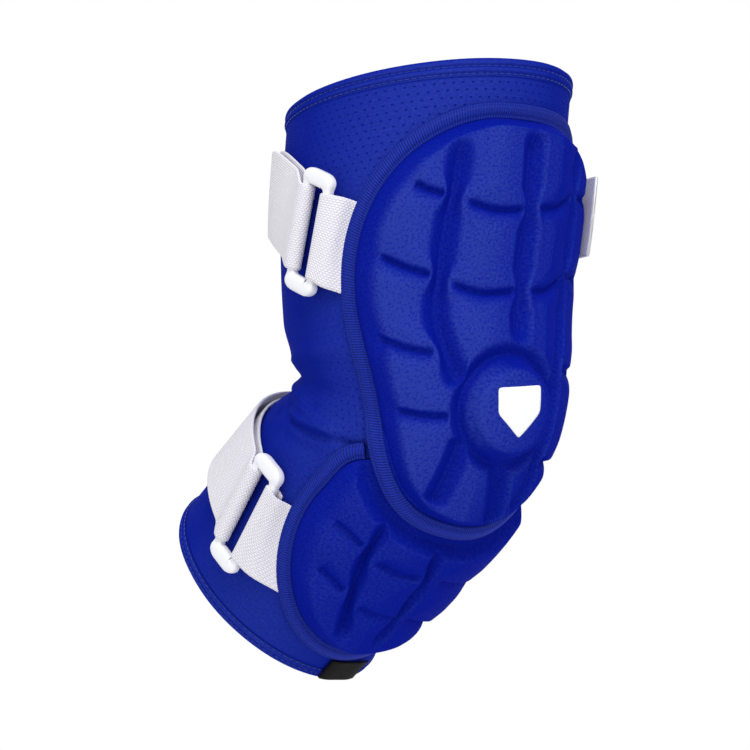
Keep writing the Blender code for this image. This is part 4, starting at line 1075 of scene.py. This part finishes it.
def cloth_lengths(s, turn):
    """Places in real metres on a moulded pad: the length round the arm at each s and the running
    length along the arm at each turn, from the pad's first corner. They are read from a coarse
    table of lengths, evenly mixed between its four nearest entries."""
    table_s = np.linspace(s.min(), s.max(), 60)
    table_turn = np.linspace(turn.min(), turn.max(), 50)
    points = on_sleeve(table_s[:, None], table_turn[None, :], 8 * MM)
    along = np.cumsum(np.linalg.norm(np.diff(points, axis=0, prepend=points[:1]), axis=-1), axis=0)
    round_arm = np.cumsum(np.linalg.norm(np.diff(points, axis=1, prepend=points[:, :1]), axis=-1), axis=1)
    row = (s - table_s[0]) / (table_s[1] - table_s[0])
    column = (turn - table_turn[0]) / (table_turn[1] - table_turn[0])
    i = np.clip(row.astype(int), 0, len(table_s) - 2)
    j = np.clip(column.astype(int), 0, len(table_turn) - 2)
    a = row - i
    b = column - j

    def read(table):
        top = table[i, j] * (1 - b) + table[i, j + 1] * b
        bottom = table[i + 1, j] * (1 - b) + table[i + 1, j + 1] * b
        return top * (1 - a) + bottom * a

    return np.stack([read(round_arm), read(along)], axis=-1)


def pad_piece(name, node, pad, cells, height_of, base_of, paleness, sizes, colours):
    """A moulded pad: its face is a grid of heights above the cloth, and its underside is a set of rings
    drawn in from the same rim to one point. Its blocks get as much painted sheen as `paleness` says, and
    lower down the cloth keeps its painted shade."""
    s, turn = pad_grid(pad, cells)
    height = height_of(s, turn, sizes)
    face = on_sleeve(s, turn, height)
    count = cells + 1
    index = np.arange(count * count).reshape(count, count)
    rim = np.concatenate([index[0, :-1], index[:-1, -1], index[-1, :0:-1], index[:0:-1, 0]])
    rim_s = s.ravel()[rim]
    rim_turn = turn.ravel()[rim]
    middle_s, middle_turn = pad_place(pad, pad.middle, 0.0)
    shares = np.array([1.0, 0.96, 0.85, 0.65, 0.4, 0.2])[:, None]
    under_s = middle_s + (rim_s - middle_s) * shares
    under_turn = middle_turn + (rim_turn - middle_turn) * shares
    under = on_sleeve(under_s, under_turn, base_of(under_s, under_turn))
    centre = on_sleeve(middle_s, middle_turn, base_of(middle_s, middle_turn))
    points = np.concatenate([face.reshape(-1, 3), under.reshape(-1, 3), centre.reshape(1, 3)])
    top_faces = grid_faces(count, count)
    ring = len(rim)
    under_numbers = count * count + np.arange(under.shape[0] * ring).reshape(-1, ring)
    numbers = np.concatenate([rim[None, :], under_numbers])
    onward = np.roll(numbers, -1, axis=1)
    walls = np.stack([numbers[:-1], numbers[1:], onward[1:], onward[:-1]], axis=-1).reshape(-1, 4)
    last = numbers[-1]
    fan = np.stack([last, np.full(ring, len(points) - 1), np.roll(last, -1)], axis=-1)
    uv = cloth_lengths(
        np.concatenate([s.ravel(), under_s.ravel(), [middle_s]]),
        np.concatenate([turn.ravel(), under_turn.ravel(), [middle_turn]]),
    )
    # Painted sheen on the block tops, fading to none below 70 percent of the pad's thickness, where the
    # grooves and slopes keep the painted shade.
    raised = paleness * smooth_step((height - 0.70 * pad.thickness) / (0.28 * pad.thickness)).ravel()
    raised = np.concatenate([raised, np.zeros(len(points) - len(raised))])
    material = material_named("moulded_cloth", lambda: moulded_cloth(colours))
    faces = [top_faces, walls, fan]
    piece = make_piece(
        name, points, faces, uv, faces, material, node, {"raised": raised}
    )
    return piece


def tape_piece(name, node, pad, base_of, first, last, closed, sizes, colours):
    """The overlocked tape: a low domed cross-section carried along the pad's rim, with a hump for
    each thread, lower along the two lines where the needle threads hold it down."""
    rough = np.linspace(first, last, 400, endpoint=not closed)
    rough_s, rough_turn = pad_spread(pad, rough, 1.0)
    shares, whole = even_path(on_sleeve(rough_s, rough_turn), sizes.rib_pitch / 4, closed)
    angles = first + (last - first) * shares
    s, turn = pad_spread(pad, angles, 1.0)
    face = np.linspace(0.0, 1.0, TAPE_FACE)
    width_share = np.concatenate([face, np.linspace(0.95, 0.05, 4)])
    dome = np.sqrt(np.clip(1 - (2 * face - 1) ** 2, 0.0, 1.0)) ** 0.8
    level = 0.30 + 0.70 * dome
    for line, deep in TAPE_SEAMS:
        level = level - deep * np.exp(-(((face - line) / 0.055) ** 2))
    along = np.linspace(0.0, whole, len(angles), endpoint=not closed)
    phase = along[:, None] / sizes.rib_pitch + face * 0.8
    ribs = sizes.rib_height * (1 + np.cos(2 * math.pi * phase)) / 2 * dome
    reach = TAPE_WIDTH + TAPE_OVER + TAPE_LAP
    rows = []
    for k, share in enumerate(width_share):
        place_s, place_turn = beside(s, turn, share * reach - TAPE_LAP, closed)
        base = base_of(place_s, place_turn)
        on_face = k < TAPE_FACE
        lift = base + level[k] * (TAPE_HEIGHT - TAPE_SINK) + ribs[:, k] if on_face else base
        rows.append(on_sleeve(place_s, place_turn, lift))
    points = np.stack(rows, axis=1)
    across = np.append(width_share, 0.0) * TAPE_WIDTH
    run = np.append(along, whole) if closed else along
    uv = np.stack(np.broadcast_arrays(across[None, :], run[:, None]), axis=-1)
    material = material_named("overlocked_tape", lambda: overlocked_tape(colours, sizes))
    return grid_piece(name, points, uv, material, node, ring_rows=closed)


def on_cloth(s, turn):
    """The height of a piece that lies straight on the sleeve."""
    return np.full(np.broadcast(s, turn).shape, SEAT)


def ring_frame(buckle):
    """A ring's middle and its axes: across towards the front of the arm, along it, and outwards."""
    turn = buckle.round_arm / MEAN_RADIUS
    small = 1e-4
    middle = on_sleeve(buckle.place, turn, RING_LIFT)
    across = unit(on_sleeve(buckle.place, turn + small, RING_LIFT) - middle)
    lower_end = on_sleeve(buckle.place + RING_LENGTH / 2, turn)
    down = unit(lower_end - on_sleeve(buckle.place - RING_LENGTH / 2, turn))
    down = unit(down * RING_LENGTH + across * buckle.tilt)
    out = unit(np.cross(across, down))
    if (out * (middle - on_sleeve(buckle.place, turn, 0.0))).sum() < 0:
        out = -out
    across = unit(np.cross(down, out)) * np.sign((np.cross(down, out) * across).sum())
    return middle, across, down, out


def build_ring(name, node, buckle, colours):
    """A one-slot plastic ring: a rounded flat section carried round a slanted oblong with rounded
    corners, broad and thick at its two ends and slim along its bars."""
    middle, across, down, out = ring_frame(buckle)
    path = np.linspace(0.0, 2 * math.pi, RING_STEPS, endpoint=False)
    path = path + 0.18 * np.sin(4 * path)
    around = np.linspace(0.0, 2 * math.pi, RING_SIDES, endpoint=False)
    ends = smooth_step((np.abs(np.cos(path)) - 0.50) / 0.40)
    half_wide = RING_BAR / 2 + ((RING_END_WIDTH + RING_END_ROUND) / 2 - RING_BAR / 2) * ends
    half_thick = RING_BAR / 2 + (RING_END_THICKNESS / 2 - RING_BAR / 2) * ends
    power = 2 / RING_SQUARENESS
    reach = (RING_LENGTH - RING_END_WIDTH - RING_END_ROUND) / 2
    along = np.sign(np.cos(path)) * np.abs(np.cos(path)) ** power * reach
    aside = np.sign(np.sin(path)) * np.abs(np.sin(path)) ** power * BAR_APART / 2
    flat = np.stack([along - aside * RING_SLANT, aside], axis=-1)
    run = unit(np.roll(flat, -1, axis=0) - np.roll(flat, 1, axis=0))
    outward = np.stack([run[:, 1], -run[:, 0]], axis=-1)
    squarer = 0.62
    wide = np.sign(np.cos(around)) * np.abs(np.cos(around)) ** squarer
    high = np.sign(np.sin(around)) * np.abs(np.sin(around)) ** squarer
    flat = flat[:, None, :] + outward[:, None, :] * (half_wide[:, None] * wide)[..., None]
    high = half_thick[:, None] * high
    points = middle + flat[..., :1] * down + flat[..., 1:] * across + high[..., None] * out
    uv = np.stack(np.meshgrid(np.arange(RING_SIDES + 1) * MM, np.arange(RING_STEPS + 1) * MM), axis=-1)
    material = material_named("moulded_plastic", lambda: moulded_plastic(colours))
    return grid_piece(name, points, uv, material, node, ring_rows=True)


def run_of(points):
    """The direction in which each row of points runs on, halfway between its two neighbours."""
    steps = unit(points[1:] - points[:-1])
    return unit(np.concatenate([steps[:1], steps[1:] + steps[:-1], steps[-1:]]))


def eased(points, times):
    """A run of points with its corners eased: each row moves towards its neighbours, many times."""
    for _ in range(times):
        inner = (points[:-2] + 2 * points[1:-1] + points[2:]) / 4
        points = np.concatenate([points[:1], inner, points[-1:]])
    return points


def webbing_piece(name, node, rows, shares, colours):
    """Webbing along rows of centre points: even steps, eased corners, and a flat cross-section with
    rolled edges set square to the run."""
    middle = rows[:, rows.shape[1] // 2]
    spots, whole = even_path(middle, WEBBING_STEP, False)
    old = np.linspace(0.0, 1.0, len(rows))
    flat = rows.reshape(len(rows), -1)
    lines = np.stack([np.interp(spots, old, flat[:, k]) for k in range(flat.shape[1])], axis=-1)
    centre = eased(lines.reshape(len(spots), -1, 3), 10)
    across = np.linspace(-0.5, 0.5, 33)
    across = 0.5 * np.sin(across * math.pi)
    flat = centre.transpose(1, 0, 2).reshape(len(shares), -1)
    spread = np.stack([np.interp(across, shares, flat[:, k]) for k in range(flat.shape[1])], axis=0)
    centre = spread.reshape(len(spots), 3, len(across)).transpose(0, 2, 1)
    normal = unit(np.cross(run_of(centre), np.gradient(centre, axis=1)))
    edge = (0.5 - np.abs(across)) * STRAP_WIDTH
    thick = WEBBING / 2 * np.sqrt(1 - (1 - np.minimum(edge / WEBBING_ROLL, 1.0)) ** 2)
    thick = np.maximum(thick, WEBBING_EDGE)[None, :, None]
    outer = centre + normal * thick
    inner = (centre - normal * thick)[:, ::-1]
    points = np.concatenate([outer, inner], axis=1)
    wide = np.concatenate([across, across[::-1], across[:1]]) * STRAP_WIDTH
    run = np.linspace(0.0, whole, len(spots))
    uv = np.stack(np.broadcast_arrays(wide[None, :], run[:, None]), axis=-1)
    material = material_named("woven_webbing", lambda: woven_webbing(colours))
    return grid_piece(name, points, uv, material, node)


def edge_turn(pad, s, far_side, room):
    """The turn of the outer edge of a pad's tape at each s, with some room added, on the ring side
    or the far side."""
    start = math.pi / 2 if far_side else -math.pi / 2
    angles = np.linspace(start, start + math.pi, 120)
    rim_s, rim_turn = pad_spread(pad, angles, 1.0)
    edge_s, turn = beside(rim_s, rim_turn, TAPE_WIDTH + room, closed=False)
    order = np.argsort(edge_s)
    return np.interp(s, edge_s[order], turn[order]) + (2 * math.pi if far_side else 0.0)


def wrap_rows(buckle, side, start, end, shares, count=14):
    """Rows of points round one of a ring's long bars, in the ring's own axes: side is +1 for the
    bar towards the front of the arm, and the angle is 0 towards the slot and grows upwards."""
    middle, across, down, out = ring_frame(buckle)
    radius = RING_BAR / 2 + GAP + WEBBING / 2
    angle = np.linspace(start, end, count)[:, None, None]
    bar = side * BAR_APART / 2
    aside = bar - side * radius * np.cos(angle)
    high = radius * np.sin(angle)
    along = (shares * STRAP_WIDTH)[None, :, None] - bar * RING_SLANT
    return middle + aside * across + along * down + high * out


def row_spread(buckle, shares):
    """How far down and how far round the arm each line along a strap lies from its middle line, so
    that its rows follow the bars."""
    lean = buckle.tilt / RING_LENGTH
    down = shares * STRAP_WIDTH / math.hypot(1.0, lean)
    return down, down * lean / MEAN_RADIUS


def strap_rows(buckle, s_middle, turn, lift, shares):
    """Rows of points across webbing that lies on the sleeve, its width along the ring's bars."""
    down, lean = row_spread(buckle, shares)
    return on_sleeve(np.asarray(s_middle) + down, turn + lean, lift)


def build_strap(name, node, buckle, colours):
    """The long strap: from its sewn end at the far side of the pad round the front of the arm, under
    the ring's bar, up through the slot and back over itself. Where it starts on top of the pad it
    runs down to the cloth in a straight line, as pulled webbing does."""
    shares = np.linspace(-0.5, 0.5, 7)
    ring_turn = buckle.round_arm / MEAN_RADIUS
    pad = buckle.pad
    ways = buckle.ways
    shifts = [shift * STRAP_WIDTH for shift in buckle.shifts]
    base = SEAT + WEBBING / 2
    touch = base
    span = 0.0
    radius = (SECTIONS[1].depth + SECTIONS[1].width) / 4
    place = buckle.place - RING_SLANT * BAR_APART / 2
    down, lean = row_spread(buckle, shares)
    end_s = place + shifts[-1] + down
    end_turn = edge_turn(pad, end_s, True, STRAP_END_ROOM)
    if buckle.over_pad:
        end_turn = 2 * math.pi + (pad.axis - pad.right + SIDE_SLOPE) / MEAN_RADIUS + 0 * shares
        touch = base + TAPE_HEIGHT / 2
        height = pad.thickness + STRAP_END_STAND + base
        span = math.acos((radius + touch) / (radius + height))
    end_turn = end_turn - lean
    near = ring_turn + (RING_WIDTH / 2 + 3 * WEBBING) / MEAN_RADIUS
    turn = near + np.linspace(1.0, 0.0, 120)[:, None] * (end_turn - near)
    away = end_turn - turn
    lift = (radius + touch) / np.cos(np.maximum(span - away, 0.0)) - radius
    lift = lift - (touch - base) * smooth_step(away - span)
    way = (turn - ring_turn) / (end_turn.mean() - ring_turn)
    under = strap_rows(buckle, place + through(way, ways, shifts), turn, lift, shares)
    wrap = wrap_rows(buckle, 1.0, -math.pi / 2, math.pi / 2 + WRAP_PAST, shares)
    share = np.linspace(0.0, 1.0, 80)[:, None]
    turn = near + share * STRAP_RETURN / MEAN_RADIUS
    way = (turn - ring_turn) / (end_turn.mean() - ring_turn)
    stand = STRAP_STAND * (1 - smooth_step(share * 1.6 - 0.35))
    lift = base + WEBBING + 2 * GAP + stand
    over = strap_rows(buckle, place + through(way, ways, shifts), turn, lift, shares)
    return webbing_piece(name, node, np.concatenate([under, wrap, over]), shares, colours)


def build_tab(name, node, buckle, colours):
    """The short tab: from the pad's tape over the ring's near bar, down through the slot, and folded
    back a little way under itself."""
    shares = np.linspace(-0.5, 0.5, 9)
    ring_turn = buckle.round_arm / MEAN_RADIUS
    slant = buckle.tab_slant
    near = ring_turn - (RING_WIDTH / 2 + WEBBING) / MEAN_RADIUS
    place = buckle.place + RING_SLANT * BAR_APART / 2
    down, lean = row_spread(buckle, shares)
    start = np.full(len(shares), ring_turn)
    for _ in range(5):
        start_s = place + slant * (ring_turn - start) * MEAN_RADIUS + down
        start = edge_turn(buckle.pad, start_s, False, TAB_TUCK) - lean
    share = np.linspace(0.0, 1.0, 30)[:, None]
    turn = start + share * (near - start)
    base = SEAT + WEBBING / 2
    rise = RING_LIFT + RING_BAR / 2 - base
    s_middle = place + slant * (ring_turn - turn) * MEAN_RADIUS
    over = strap_rows(buckle, s_middle, turn, base + rise * smooth_step(share), shares)
    wrap = wrap_rows(buckle, -1.0, math.pi / 2 + WRAP_PAST, -math.pi / 2, shares)
    end = ring_turn - (RING_WIDTH / 2 + TAB_RETURN) / MEAN_RADIUS
    s_middle = place + slant * (ring_turn - end) * MEAN_RADIUS
    under = strap_rows(buckle, s_middle, np.array([[end]]), base, shares)
    return webbing_piece(name, node, np.concatenate([over, wrap, under]), shares, colours)


def build_label(colours):
    """A small bare label over the cuff's hem: a thin slab whose edges are rolled, lifted a little off the
    cloth with a faint wave across it."""
    s_share = np.linspace(0.0, 1.0, 14)
    turn_share = np.linspace(0.0, 1.0, 40)
    s = (CUFF_RIM - LABEL_RISE - LABEL_HEIGHT * (1 - s_share))[None, :]
    turn = (LABEL_ROUND + (turn_share - 0.5)[:, None] * LABEL_WIDTH) / MEAN_RADIUS
    wave = LABEL_WAVE * np.sin(turn_share * 9)[:, None] + 0 * s
    edge = np.minimum(turn_share, 1 - turn_share)[:, None] * LABEL_WIDTH
    thick = LABEL_THICKNESS * np.minimum(0.35 + edge / LABEL_ROLL, 1.0) + 0 * s
    outer = on_sleeve(s, turn, LABEL_LIFT + wave + thick)
    inner = on_sleeve(s, turn, LABEL_LIFT + wave)[:, ::-1]
    points = np.concatenate([outer, inner], axis=1)
    along = np.concatenate([s_share, s_share[::-1], s_share[:1]]) * LABEL_HEIGHT
    uv = np.stack(np.broadcast_arrays(turn_share[:, None] * LABEL_WIDTH, along[None, :]), axis=-1)
    material = material_named("woven_label", lambda: woven_label(colours))
    return grid_piece("cuff_label", points, uv[..., ::-1], material, "label")


def stitch_points(centres, run, out, length_, thickness, sides=8, rings=6):
    """Many short stitches as one set of grids: each is a round thread along its own run that dives
    at both ends, a half ellipse in height and full in width."""
    t = np.linspace(0.0, math.pi, rings + 2)[None, :, None, None]
    around = np.linspace(0.0, 2 * math.pi, sides, endpoint=False)[None, None, :, None]
    side = unit(np.cross(run, out))
    centres, run, out, side = (v[:, None, None, :] for v in (centres, run, out, side))
    along = -np.cos(t) * length_ / 2
    swell = np.sqrt(np.sin(t) + 0.02) * thickness / 2
    lift = np.sin(t) * thickness * 0.35
    return centres + run * along + side * swell * np.cos(around) + out * (swell * np.sin(around) + lift)


def stitch_piece(name, rows, length_, thickness, material):
    """One piece from many stitches, given as (centres, run, out) arrays."""
    centres = np.concatenate([row[0] for row in rows])
    run = np.concatenate([row[1] for row in rows])
    out = np.concatenate([row[2] for row in rows])
    points = stitch_points(centres, run, out, length_, thickness)
    count, rings, sides = points.shape[:3]
    one = grid_faces(rings, sides, False, True)
    around = np.arange(sides)
    caps = [around[::-1][None, :], ((rings - 1) * sides + around)[None, :]]
    offsets = (np.arange(count) * rings * sides)[:, None, None]
    faces = [(one[None] + offsets).reshape(-1, 4)]
    faces += [(cap[None] + offsets).reshape(-1, sides) for cap in caps]
    flat = points.reshape(-1, 3)
    along = np.linspace(0.0, length_, rings)[None, :, None] + np.zeros((count, rings, sides))
    across = np.arange(sides)[None, None, :] / sides + np.zeros((count, rings, sides))
    uv = np.stack([across.ravel(), along.ravel()], axis=-1)
    return make_piece(name, flat, faces, uv, faces, material)


def stitches_along(s, turn, lift, spacing):
    """Centres, runs and outward directions of stitches an even spacing apart along a ring on the
    cloth, each lying along it."""
    line = on_sleeve(s, turn, lift)
    shares, _ = even_path(line, spacing, True)
    ends = np.concatenate([line, line[:1]])
    spots = shares * (len(ends) - 1)
    numbers = np.arange(len(ends))
    centres = np.stack([np.interp(spots, numbers, ends[:, k]) for k in range(3)], axis=-1)
    outer = on_sleeve(s, turn, lift + 1 * MM)
    outer = np.concatenate([outer, outer[:1]])
    high = np.stack([np.interp(spots, numbers, outer[:, k]) for k in range(3)], axis=-1)
    run = unit(np.roll(centres, -1, axis=0) - np.roll(centres, 1, axis=0))
    return centres, run, unit(high - centres)


def build_hem_stitches(sizes, colours):
    """Two rows of lockstitches in each hem."""
    turn = np.linspace(0.0, 2 * math.pi, 400, endpoint=False)
    rows = []
    for edge, sewn, lines in HEM_LINES:
        for line in lines:
            s = np.full_like(turn, edge + (sewn - edge) * line)
            rows.append(stitches_along(s, turn, STITCH_LIFT, sizes.stitch_length * 1.25))
    material = material_named("blue_thread", lambda: twisted_thread("blue_thread", colours.thread))
    return stitch_piece("hem_stitches", rows, sizes.stitch_length, sizes.thread, material)


def build_print(sizes, colours):
    """A plain home-plate shape printed on the disc: a five-sided outline with rounded corners, drawn
    in from its edge to its middle, a hair above the cloth."""
    disc_s, disc_turn = pad_place(UPPER_PAD, *DISC_PLACE)
    corners = np.array([(-0.5, 0.5), (0.5, 0.5), (0.5, -0.02), (0.0, -0.5), (-0.5, -0.02)])
    normals = []
    reaches = []
    for a, b in zip(corners, np.roll(corners, -1, axis=0)):
        run = (b - a) / np.linalg.norm(b - a)
        normal = np.array([run[1], -run[0]])
        normal = normal * np.sign(normal @ a)
        normals.append(normal)
        reaches.append(normal @ a)
    angle = np.linspace(0.0, 2 * math.pi, 240, endpoint=False)
    rays = np.stack([np.cos(angle), np.sin(angle)], axis=-1)
    sides = np.clip(rays @ np.array(normals).T, 0.0, None) / np.array(reaches)
    reach = (sides ** 16).sum(-1) ** (-1 / 16)
    rings = np.linspace(0.0, 1.0, PRINT_RINGS)[1:, None]
    cos_lean = math.cos(PRINT_LEAN)
    sin_lean = math.sin(PRINT_LEAN)
    x = rings * reach * np.cos(angle) * sizes.print_width
    y = rings * reach * np.sin(angle) * sizes.print_width * PRINT_SHARE
    centre = on_sleeve(disc_s, disc_turn, PRINT_LEVEL)
    small = 1e-4
    per_s = np.linalg.norm(on_sleeve(disc_s + small, disc_turn, PRINT_LEVEL) - centre) / small
    per_turn = np.linalg.norm(on_sleeve(disc_s, disc_turn + small, PRINT_LEVEL) - centre) / small
    s = disc_s - (x * sin_lean + y * cos_lean) / per_s
    turn = disc_turn - (x * cos_lean - y * sin_lean) / per_turn
    top = upper_pad_height(s, turn, sizes) + PRINT_LIFT
    middle_height = upper_pad_height(np.array([disc_s]), np.array([disc_turn]), sizes)
    outer = on_sleeve(s, turn, top)
    lower = on_sleeve(s[-1], turn[-1], top[-1] - PRINT_THICKNESS)
    upper_middle = on_sleeve(disc_s, disc_turn, middle_height + PRINT_LIFT)
    under_middle = on_sleeve(disc_s, disc_turn, middle_height + PRINT_LIFT - PRINT_THICKNESS)
    points = np.concatenate([
        upper_middle.reshape(1, 3), outer.reshape(-1, 3), lower, under_middle.reshape(1, 3),
    ])
    ring = len(angle)
    numbers = 1 + np.arange(PRINT_RINGS * ring).reshape(PRINT_RINGS, ring)
    onward = np.roll(numbers, -1, axis=1)
    body = np.stack([numbers[:-1], numbers[1:], onward[1:], onward[:-1]], axis=-1).reshape(-1, 4)
    top_fan = np.stack([np.zeros(ring, int), numbers[0], onward[0]], axis=-1)
    under_fan = np.stack([np.full(ring, len(points) - 1), onward[-1], numbers[-1]], axis=-1)
    faces = [body, top_fan, under_fan]
    material = material_named("transfer_ink", lambda: transfer_ink(colours))
    return make_piece("plate_print", points, faces, points[:, :2], faces, material)


def build_stage(stage, colours):
    """A pale floor well below the guard, one large soft key light up and to the right of the camera,
    light from all round, and the camera at the photograph's angle."""
    scene = bpy.context.scene
    az, el, roll = stage.azimuth, stage.elevation, stage.roll
    back = Vector((math.sin(az) * math.cos(el), -math.cos(az) * math.cos(el), math.sin(el)))
    right = Vector((math.cos(az), math.sin(az), 0.0))
    up = back.cross(right)
    turned_right = right * math.cos(roll) + up * math.sin(roll)
    turned_up = up * math.cos(roll) - right * math.sin(roll)
    place = turned_right * CAMERA_ASIDE + turned_up * CAMERA_UP + back * stage.distance
    place.z += ELBOW_DROP
    camera = bpy.data.objects.new("camera", bpy.data.cameras.new("camera"))
    camera.matrix_world = Matrix.Translation(place) @ Matrix(
        (turned_right, turned_up, back)
    ).transposed().to_4x4()
    camera.data.lens = stage.lens
    camera.data.sensor_width = 36.0
    scene.collection.objects.link(camera)
    scene.camera = camera
    key_turn = az + KEY_ASIDE
    toward = Vector((math.sin(key_turn), -math.cos(key_turn), 0.0)) * math.cos(KEY_RISE)
    toward.z = math.sin(KEY_RISE)
    key = bpy.data.objects.new("key_light", bpy.data.lights.new("key_light", "AREA"))
    key.data.energy = stage.key_power
    key.data.size = KEY_SIZE
    key.location = toward * KEY_DISTANCE
    key.rotation_euler = toward.to_track_quat("Z", "Y").to_euler()
    scene.collection.objects.link(key)
    world = bpy.data.worlds.new("studio")
    world.use_nodes = True
    tree = world.node_tree
    shown = tree.nodes["Background"]
    shown.inputs["Color"].default_value = (1.0, 1.0, 1.0, 1.0)
    shown.inputs["Strength"].default_value = 1.0
    light = add_node(
        tree, "ShaderNodeBackground", {"Color": (0.97, 0.98, 1.0, 1.0), "Strength": stage.ambient}
    )
    ray = add_node(tree, "ShaderNodeLightPath")
    both = add_node(
        tree, "ShaderNodeMixShader",
        {0: ray.outputs["Is Camera Ray"], 1: light.outputs[0], 2: shown.outputs[0]},
    )
    tree.links.new(both.outputs[0], tree.nodes["World Output"].inputs["Surface"])
    scene.world = world
    scene.view_settings.view_transform = "Standard"
    corners = FLOOR_HALF * np.array([(-1, -1), (1, -1), (1, 1), (-1, 1)])
    points = np.concatenate([corners, np.full((4, 1), -stage.floor_drop)], axis=1)
    mesh = bpy.data.meshes.new("floor")
    mesh.from_pydata(points.tolist(), [], [(0, 1, 2, 3)])
    mesh.materials.append(material_named("studio_board", lambda: studio_board(colours)))
    floor = bpy.data.objects.new("floor", mesh)
    scene.collection.objects.link(floor)


class GuardOperator:
    """What all the operators share: that they can be undone, and how they find the settings."""

    bl_options = {"REGISTER", "UNDO"}

    @staticmethod
    def settings(context):
        """The size and colour settings of the scene."""
        return context.scene.guard_sizes, context.scene.guard_colours


class GUARD_OT_sleeve(GuardOperator, Operator):
    """Knit the sleeve and its two hems"""

    bl_idname = "guard.sleeve"
    bl_label = "Sleeve and hems"

    def execute(self, context):
        sizes, colours = self.settings(context)
        build_sleeve(colours)
        top, cuff = HEM_LINES
        build_hem("top_hem_cloth", "upper_hem", *top, colours)
        build_hem("cuff_hem_cloth", "lower_hem", *cuff, colours)
        build_hem_stitches(sizes, colours)
        return {"FINISHED"}


class GUARD_OT_pads(GuardOperator, Operator):
    """Mould the two pads"""

    bl_idname = "guard.pads"
    bl_label = "Moulded pads"

    def execute(self, context):
        sizes, colours = self.settings(context)
        pad_piece(
            "upper_pad_cloth", "upper_pad", UPPER_PAD, UPPER_CELLS, upper_pad_height, upper_pad_base,
            UPPER_PALENESS, sizes, colours,
        )
        pad_piece(
            "lower_pad_cloth", "lower_pad", LOWER_PAD, LOWER_CELLS, lower_pad_height, on_cloth,
            LOWER_PALENESS, sizes, colours,
        )
        return {"FINISHED"}


class GUARD_OT_tapes(GuardOperator, Operator):
    """Bind the pads' edges with overlocked tape"""

    bl_idname = "guard.tapes"
    bl_label = "Edge tapes"

    def execute(self, context):
        sizes, colours = self.settings(context)
        tape_piece(
            "upper_tape", "upper_pad_binding", UPPER_PAD, upper_pad_base, 0.0, 2 * math.pi, True,
            sizes, colours,
        )
        tape_piece(
            "lower_tape", "lower_pad_binding", LOWER_PAD, on_cloth, *LOWER_TAPE_ENDS, False,
            sizes, colours,
        )
        return {"FINISHED"}


class GUARD_OT_straps(GuardOperator, Operator):
    """Weave the straps and their tabs"""

    bl_idname = "guard.straps"
    bl_label = "Straps and tabs"

    def execute(self, context):
        _, colours = self.settings(context)
        build_strap("upper_webbing", "upper_strap", UPPER_BUCKLE, colours)
        build_strap("lower_webbing", "lower_strap", LOWER_BUCKLE, colours)
        build_tab("upper_tab_webbing", "upper_strap_tab", UPPER_BUCKLE, colours)
        build_tab("lower_tab_webbing", "lower_strap_tab", LOWER_BUCKLE, colours)
        return {"FINISHED"}


class GUARD_OT_rings(GuardOperator, Operator):
    """Mould the two plastic rings"""

    bl_idname = "guard.rings"
    bl_label = "Rings"

    def execute(self, context):
        _, colours = self.settings(context)
        build_ring("upper_ring_plastic", "upper_ring", UPPER_BUCKLE, colours)
        build_ring("lower_ring_plastic", "lower_ring", LOWER_BUCKLE, colours)
        return {"FINISHED"}


class GUARD_OT_trim(GuardOperator, Operator):
    """Sew on the bare label and print the plain plate shape"""

    bl_idname = "guard.trim"
    bl_label = "Label and print"

    def execute(self, context):
        sizes, colours = self.settings(context)
        build_label(colours)
        build_print(sizes, colours)
        return {"FINISHED"}


class GUARD_OT_stage(GuardOperator, Operator):
    """Set the floor, the light and the camera"""

    bl_idname = "guard.stage"
    bl_label = "Stage"

    def execute(self, context):
        build_stage(context.scene.guard_stage, context.scene.guard_colours)
        return {"FINISHED"}


class GUARD_PT_finish(Panel):
    """Lists the guard's operators and settings"""

    bl_idname = "GUARD_PT_finish"
    bl_label = "Elbow guard"
    bl_space_type = "VIEW_3D"
    bl_region_type = "UI"
    bl_category = "Elbow guard"

    def draw(self, context):
        layout = self.layout
        for operator in OPERATORS:
            layout.operator(operator.bl_idname)
        for settings in (context.scene.guard_sizes, context.scene.guard_colours, context.scene.guard_stage):
            box = layout.box()
            for key in settings.bl_rna.properties.keys():
                if key not in {"rna_type", "name"}:
                    box.prop(settings, key)


OPERATORS = (
    GUARD_OT_stage, GUARD_OT_sleeve, GUARD_OT_pads, GUARD_OT_tapes, GUARD_OT_rings, GUARD_OT_straps,
    GUARD_OT_trim,
)
SETTINGS = (GuardSizes, GuardColours, GuardStage)


def register():
    """Registers the settings, the operators and the panel."""
    for entry in (*SETTINGS, *OPERATORS, GUARD_PT_finish):
        bpy.utils.register_class(entry)
    bpy.types.Scene.guard_sizes = PointerProperty(type=GuardSizes)
    bpy.types.Scene.guard_colours = PointerProperty(type=GuardColours)
    bpy.types.Scene.guard_stage = PointerProperty(type=GuardStage)


def unregister():
    """Takes them out again."""
    del bpy.types.Scene.guard_stage
    del bpy.types.Scene.guard_colours
    del bpy.types.Scene.guard_sizes
    for entry in reversed((*SETTINGS, *OPERATORS, GUARD_PT_finish)):
        bpy.utils.unregister_class(entry)


def main():
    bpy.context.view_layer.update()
    register()
    bpy.ops.guard.stage()
    bpy.ops.guard.sleeve()
    bpy.ops.guard.pads()
    bpy.ops.guard.tapes()
    bpy.ops.guard.rings()
    bpy.ops.guard.straps()
    bpy.ops.guard.trim()


if __name__ == "__main__":
    main()
